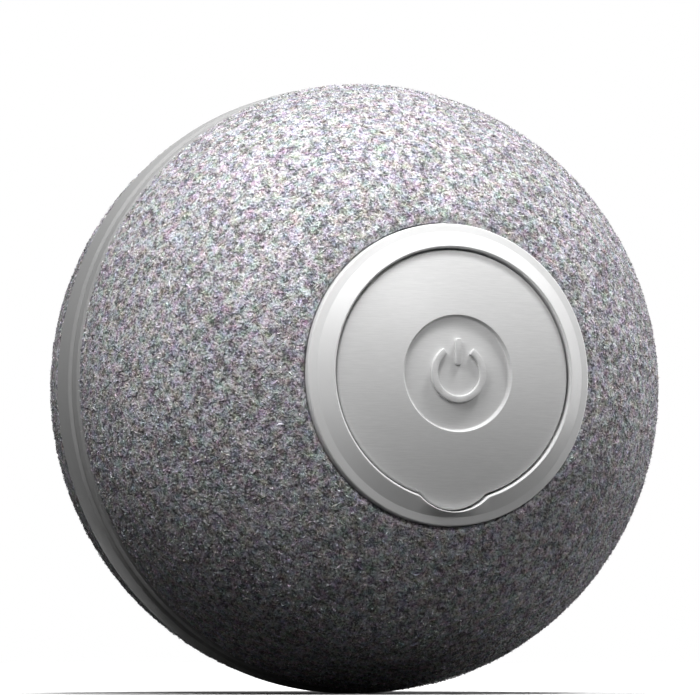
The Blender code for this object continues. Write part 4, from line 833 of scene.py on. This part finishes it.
def lid_piece():
    """The whole lid in one silicone moulding: face, dish, lobe, skirt, anchor strap and its head."""
    angle = lid_angles(LID_COLUMNS)
    edge = lid_edge(angle)
    ones = np.ones_like(angle)
    rows = []
    inner_rows = [0.01, 0.6, 1.2, 1.8, 2.4, 3.0, 3.4, 3.6, 3.7, 3.76, 3.81, 3.86, 3.9, 3.94, 3.98, 4.05, 4.2, 4.6,
                  5.2, 5.8, 6.4, 6.9, ROUND_FACE]
    for radius in inner_rows:
        rows.append((radius * ones, -lid_height(radius) * ones))
    corner = edge - LID_CORNER
    for t in np.linspace(0.15, 1, 8):
        radius = ROUND_FACE + (corner - ROUND_FACE) * t
        rows.append((radius, -lid_height(radius)))
    top = lid_height(corner)
    for step in range(1, 7):
        turn_by = math.radians(90) * step / 6
        rows.append((corner + LID_CORNER * math.sin(turn_by),
                     -(top - LID_CORNER + LID_CORNER * math.cos(turn_by)) * ones))
    rows += [(edge, -(LID_BACK + 0.05) * ones), (edge - 0.05, -LID_BACK * ones), (edge - 0.5, -LID_BACK * ones),
             (edge * 0.67 + 7.15 * 0.33 - 0.5, -LID_BACK * ones), (edge * 0.33 + 7.65 * 0.67 - 0.5, -LID_BACK * ones)]
    rows += [(radius * ones, -LID_BACK * ones) for radius in (7.2, 7.05, 6.9, 6.75, 6.6, 6.45, 6.3, 6.15, 5.9, 5.2)]
    rows += [(radius * ones, -LID_BACK * ones) for radius in (4.4, 3.4, 2.2, 1.0, 0.01)]
    points = polar(rows, angle)
    parts = [lattice(points, True)]
    skirt_turn = np.linspace(math.radians(40), math.radians(320), 180)
    root, tip = -(LID_BACK + 0.1), -(LID_BACK - SKIRT_DEPTH)
    profile = soften([(SKIRT_INNER, root), (SKIRT_INNER, tip), (SKIRT_OUTER, tip), (SKIRT_OUTER, root)],
                     (0, 0.15, 0.15, 0), 4, loop=False)
    skirt = np.empty((len(profile), len(skirt_turn), 3))
    for i, (radius, y) in enumerate(profile):
        skirt[i, :, 0] = radius * np.sin(skirt_turn)
        skirt[i, :, 1] = y
        skirt[i, :, 2] = radius * np.cos(skirt_turn)
    rows_count, cols = skirt.shape[:2]
    down = np.arange(rows_count - 1)[:, None]
    across = np.arange(cols - 1)[None, :]
    quads = np.stack([down * cols + across, down * cols + across + 1, (down + 1) * cols + across + 1,
                      (down + 1) * cols + across], -1).reshape(-1, 4).tolist()
    quads.append([i * cols for i in range(rows_count)])
    quads.append([i * cols + cols - 1 for i in range(rows_count)][::-1])
    parts.append((skirt.reshape(-1, 3), quads))
    verts, faces = merge(parts)
    strap = ((-1.7, 1.7), (-(LID_BACK + 0.12), -12.38), (6.61, 7.11))
    strap_head = ((-2.3, 2.3), (-12.43, -11.63), (6.49, 7.23))
    for sizes in (strap, strap_head):
        verts, faces = add_pad(verts, faces, sizes, 0.12)
    for shape in standby_sign():
        verts, faces = merge([(verts, faces), shape])
    made = build("lid_moulding", verts, faces, silicone, 40)
    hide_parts("port_lid", "lid_anchor")
    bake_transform(made)


def slab(outline, base, top, edge=0.06):
    """A raised flat shape from an (x, z) outline, with a rounded top edge; base and top are y values."""
    outline = np.asarray(outline, float)
    before, after = np.roll(outline, 1, 0), np.roll(outline, -1, 0)
    way = after - before
    way /= np.linalg.norm(way, axis=1)[:, None]
    inward = np.stack([-way[:, 1], way[:, 0]], 1)
    area = np.sum(outline[:, 0] * after[:, 1] - after[:, 0] * outline[:, 1])
    inward *= 1 if area > 0 else -1
    rows = []
    sign = 1 if top > base else -1
    rows.append((outline, base))
    for step in range(4):
        turn_by = math.radians(90) * step / 3
        rows.append((outline + inward * edge * (1 - math.cos(turn_by)), top - sign * edge * (1 - math.sin(turn_by))))
    count = len(outline)
    verts = np.concatenate([np.stack([o[:, 0], np.full(count, y), o[:, 1]], 1) for o, y in rows])
    faces = []
    for row in range(len(rows) - 1):
        for i in range(count):
            j = (i + 1) % count
            faces.append([row * count + i, row * count + j, (row + 1) * count + j, (row + 1) * count + i])
    faces.append([(len(rows) - 1) * count + i for i in range(count)])
    if (area > 0) == (sign > 0):
        faces = [face[::-1] for face in faces]
    return verts, faces


def add_pad(verts, faces, sizes, edge):
    """A soft-edged block along Y."""
    (x0, x1), (y0, y1), (z0, z1) = sizes
    outline = soften([(x0, z0), (x1, z0), (x1, z1), (x0, z1)], edge, 3)
    outline = np.asarray(outline)
    count = len(outline)
    points = np.concatenate([np.stack([outline[:, 0], np.full(count, y), outline[:, 1]], 1) for y in (y0, y1)])
    quads = [[i, (i + 1) % count, count + (i + 1) % count, count + i] for i in range(count)]
    quads.append(list(range(count))[::-1])
    quads.append([count + i for i in range(count)])
    return merge([(verts, faces), (points, quads)])


def standby_sign():
    """A raised ring with a gap at the top and a bar in the gap, the common standby sign."""
    floor = -(lid_height(1.0) - 0.14)
    top = -(lid_height(1.0) + 0.22)
    middle, half = 1.75, 0.23
    gap = math.radians(33)
    outer = [((middle + half) * math.sin(a), (middle + half) * math.cos(a)) for a in
             np.linspace(gap, 2 * math.pi - gap, 56)]
    inner = [((middle - half) * math.sin(a), (middle - half) * math.cos(a)) for a in
             np.linspace(2 * math.pi - gap, gap, 56)]
    ring = slab(outer + inner, floor, top)
    bar = [(-half, 0.55), (half, 0.55), (half, 2.35), (-half, 2.35)]
    bar = slab(soften(bar, half * 0.98, 6), floor, top)
    return [ring, bar]


# Stage, light and camera
def stage():
    """A floor that looks pale, white away from the ball and shaded under it, and gives little light back."""
    floor_z = -BALL_RADIUS * MM
    mesh = bpy.data.meshes.new("floor")
    mesh.from_pydata([(-3, -3, floor_z), (3, -3, floor_z), (3, 3, floor_z), (-3, 3, floor_z)], [], [(0, 1, 2, 3)])
    floor = bpy.data.objects.new("floor", mesh)
    bpy.context.scene.collection.objects.link(floor)
    f = Finish("pale_floor", grey(0.9), 0.9)
    tree = f.tree
    output = tree.nodes["Material Output"]
    path = f.add("ShaderNodeLightPath")
    seen = f.maths("MAXIMUM", path.outputs["Is Camera Ray"],
                   f.maths("MAXIMUM", path.outputs["Is Glossy Ray"], path.outputs["Is Transmission Ray"]))
    distance = f.add("ShaderNodeVectorMath", operation="LENGTH")
    flat = f.stretched((1, 1, 0))
    f.link(flat, distance.inputs[0])
    far = f.span(distance.outputs["Value"], 0.0205, 0.0265)
    glow = f.add("ShaderNodeEmission")
    glow.inputs["Color"].default_value = (1, 1, 1, 1)
    f.link(far, glow.inputs["Strength"])
    matt = f.add("ShaderNodeBsdfDiffuse")
    matt.inputs["Color"].default_value = (0.8, 0.8, 0.8, 1)
    shown = f.add("ShaderNodeAddShader")
    f.link(matt.outputs[0], shown.inputs[0])
    f.link(glow.outputs[0], shown.inputs[1])
    low = f.add("ShaderNodeBsdfDiffuse")
    low.inputs["Color"].default_value = (0.03, 0.03, 0.03, 1)
    blend = f.add("ShaderNodeMixShader")
    f.link(seen, blend.inputs[0])
    f.link(low.outputs[0], blend.inputs[1])
    f.link(shown.outputs[0], blend.inputs[2])
    f.link(blend.outputs[0], output.inputs["Surface"])
    floor.data.materials.append(f.material)


def world_light():
    """White where it is seen or mirrored, and a faint light from above for the rest."""
    world = bpy.data.worlds.new("studio")
    bpy.context.scene.world = world
    world.use_nodes = True
    tree = world.node_tree
    tree.nodes.clear()
    output = tree.nodes.new("ShaderNodeOutputWorld")
    place = tree.nodes.new("ShaderNodeTexCoord")
    parts = tree.nodes.new("ShaderNodeSeparateXYZ")
    tree.links.new(place.outputs["Generated"], parts.inputs[0])
    ramp = tree.nodes.new("ShaderNodeMapRange")
    tree.links.new(parts.outputs["Z"], ramp.inputs["Value"])
    for key, number in (("From Min", -0.9), ("From Max", 0.2), ("To Min", 0.0), ("To Max", 0.115)):
        ramp.inputs[key].default_value = number
    dim = tree.nodes.new("ShaderNodeBackground")
    tree.links.new(ramp.outputs["Result"], dim.inputs["Strength"])
    white = tree.nodes.new("ShaderNodeBackground")
    dim.inputs["Color"].default_value = white.inputs["Color"].default_value = (1, 1, 1, 1)
    path = tree.nodes.new("ShaderNodeLightPath")
    either = tree.nodes.new("ShaderNodeMath")
    either.operation = "MAXIMUM"
    both = tree.nodes.new("ShaderNodeMath")
    both.operation = "MAXIMUM"
    tree.links.new(path.outputs["Is Camera Ray"], either.inputs[0])
    tree.links.new(path.outputs["Is Glossy Ray"], either.inputs[1])
    tree.links.new(either.outputs[0], both.inputs[0])
    tree.links.new(path.outputs["Is Transmission Ray"], both.inputs[1])
    blend = tree.nodes.new("ShaderNodeMixShader")
    tree.links.new(both.outputs[0], blend.inputs[0])
    tree.links.new(dim.outputs[0], blend.inputs[1])
    tree.links.new(white.outputs[0], blend.inputs[2])
    tree.links.new(blend.outputs[0], output.inputs["Surface"])


# The camera's axes, which the lamps' directions use too
CAM_RIGHT = Vector((0.9319, -0.3628, 0.0)).normalized()
CAM_BACK = Vector((-0.3619, -0.9297, -0.0681)).normalized()
CAM_UP = CAM_BACK.cross(CAM_RIGHT).normalized()


def lamp(name, right, up, back, distance_mm, size_mm, level):
    """A soft round lamp aimed at the ball. level 1 lights a square-on surface at the middle to its written colour."""
    way = (CAM_RIGHT * right + CAM_UP * up + CAM_BACK * back).normalized()
    light = bpy.data.lights.new(name, "AREA")
    light.shape = "DISK"
    light.size = size_mm * MM
    area = math.pi * (size_mm * MM / 2) ** 2
    light.energy = level * math.pi * area / math.sin(math.atan(size_mm / 2 / distance_mm)) ** 2
    made = bpy.data.objects.new(name, light)
    bpy.context.scene.collection.objects.link(made)
    made.location = way * distance_mm * MM
    made.rotation_euler = way.to_track_quat("Z", "Y").to_euler()


def camera():
    """The camera of the photo's view."""
    data = bpy.data.cameras.new("camera")
    data.lens = FOCAL_PIXELS / FRAME_PIXELS * SENSOR
    data.sensor_width = SENSOR
    data.clip_start = 0.01
    data.clip_end = 20
    made = bpy.data.objects.new("camera", data)
    bpy.context.scene.collection.objects.link(made)
    unit = BALL_RADIUS * MM
    right, up, back = CAMERA_PLACE
    place = CAM_RIGHT * (right * unit) + CAM_UP * (up * unit) + CAM_BACK * (back * unit)
    axes = Matrix((CAM_RIGHT, CAM_UP, CAM_BACK)).transposed().to_4x4()
    axes.translation = place
    made.matrix_world = axes
    bpy.context.scene.camera = made


dress_nodes()
felt_half("felt_front", -1, "front_felt_cover")
felt_half("felt_rear", 1, "rear_felt_cover")
nap("nap_front_a", -1, 21, 27000, 6000)
nap("nap_front_b", -1, 22, 27000, 6000)
nap("nap_rear_a", 1, 23, 27000, 300)
front_half()
rear_half()
front_bezel()
far_bezel()
lid_piece()
stage()
world_light()
lamp("key", 0.38, 0.838, 0.063, 180, 40, 1.05)
lamp("side", 0.632, -0.213, -0.381, 160, 120, 1.15)
lamp("front", -0.336, 0.649, 0.559, 79, 50, 0.7)
lamp("fill", 0.435, 0.416, 0.786, 125, 22, 0.17)
camera()
bpy.context.scene.view_settings.view_transform = "Standard"
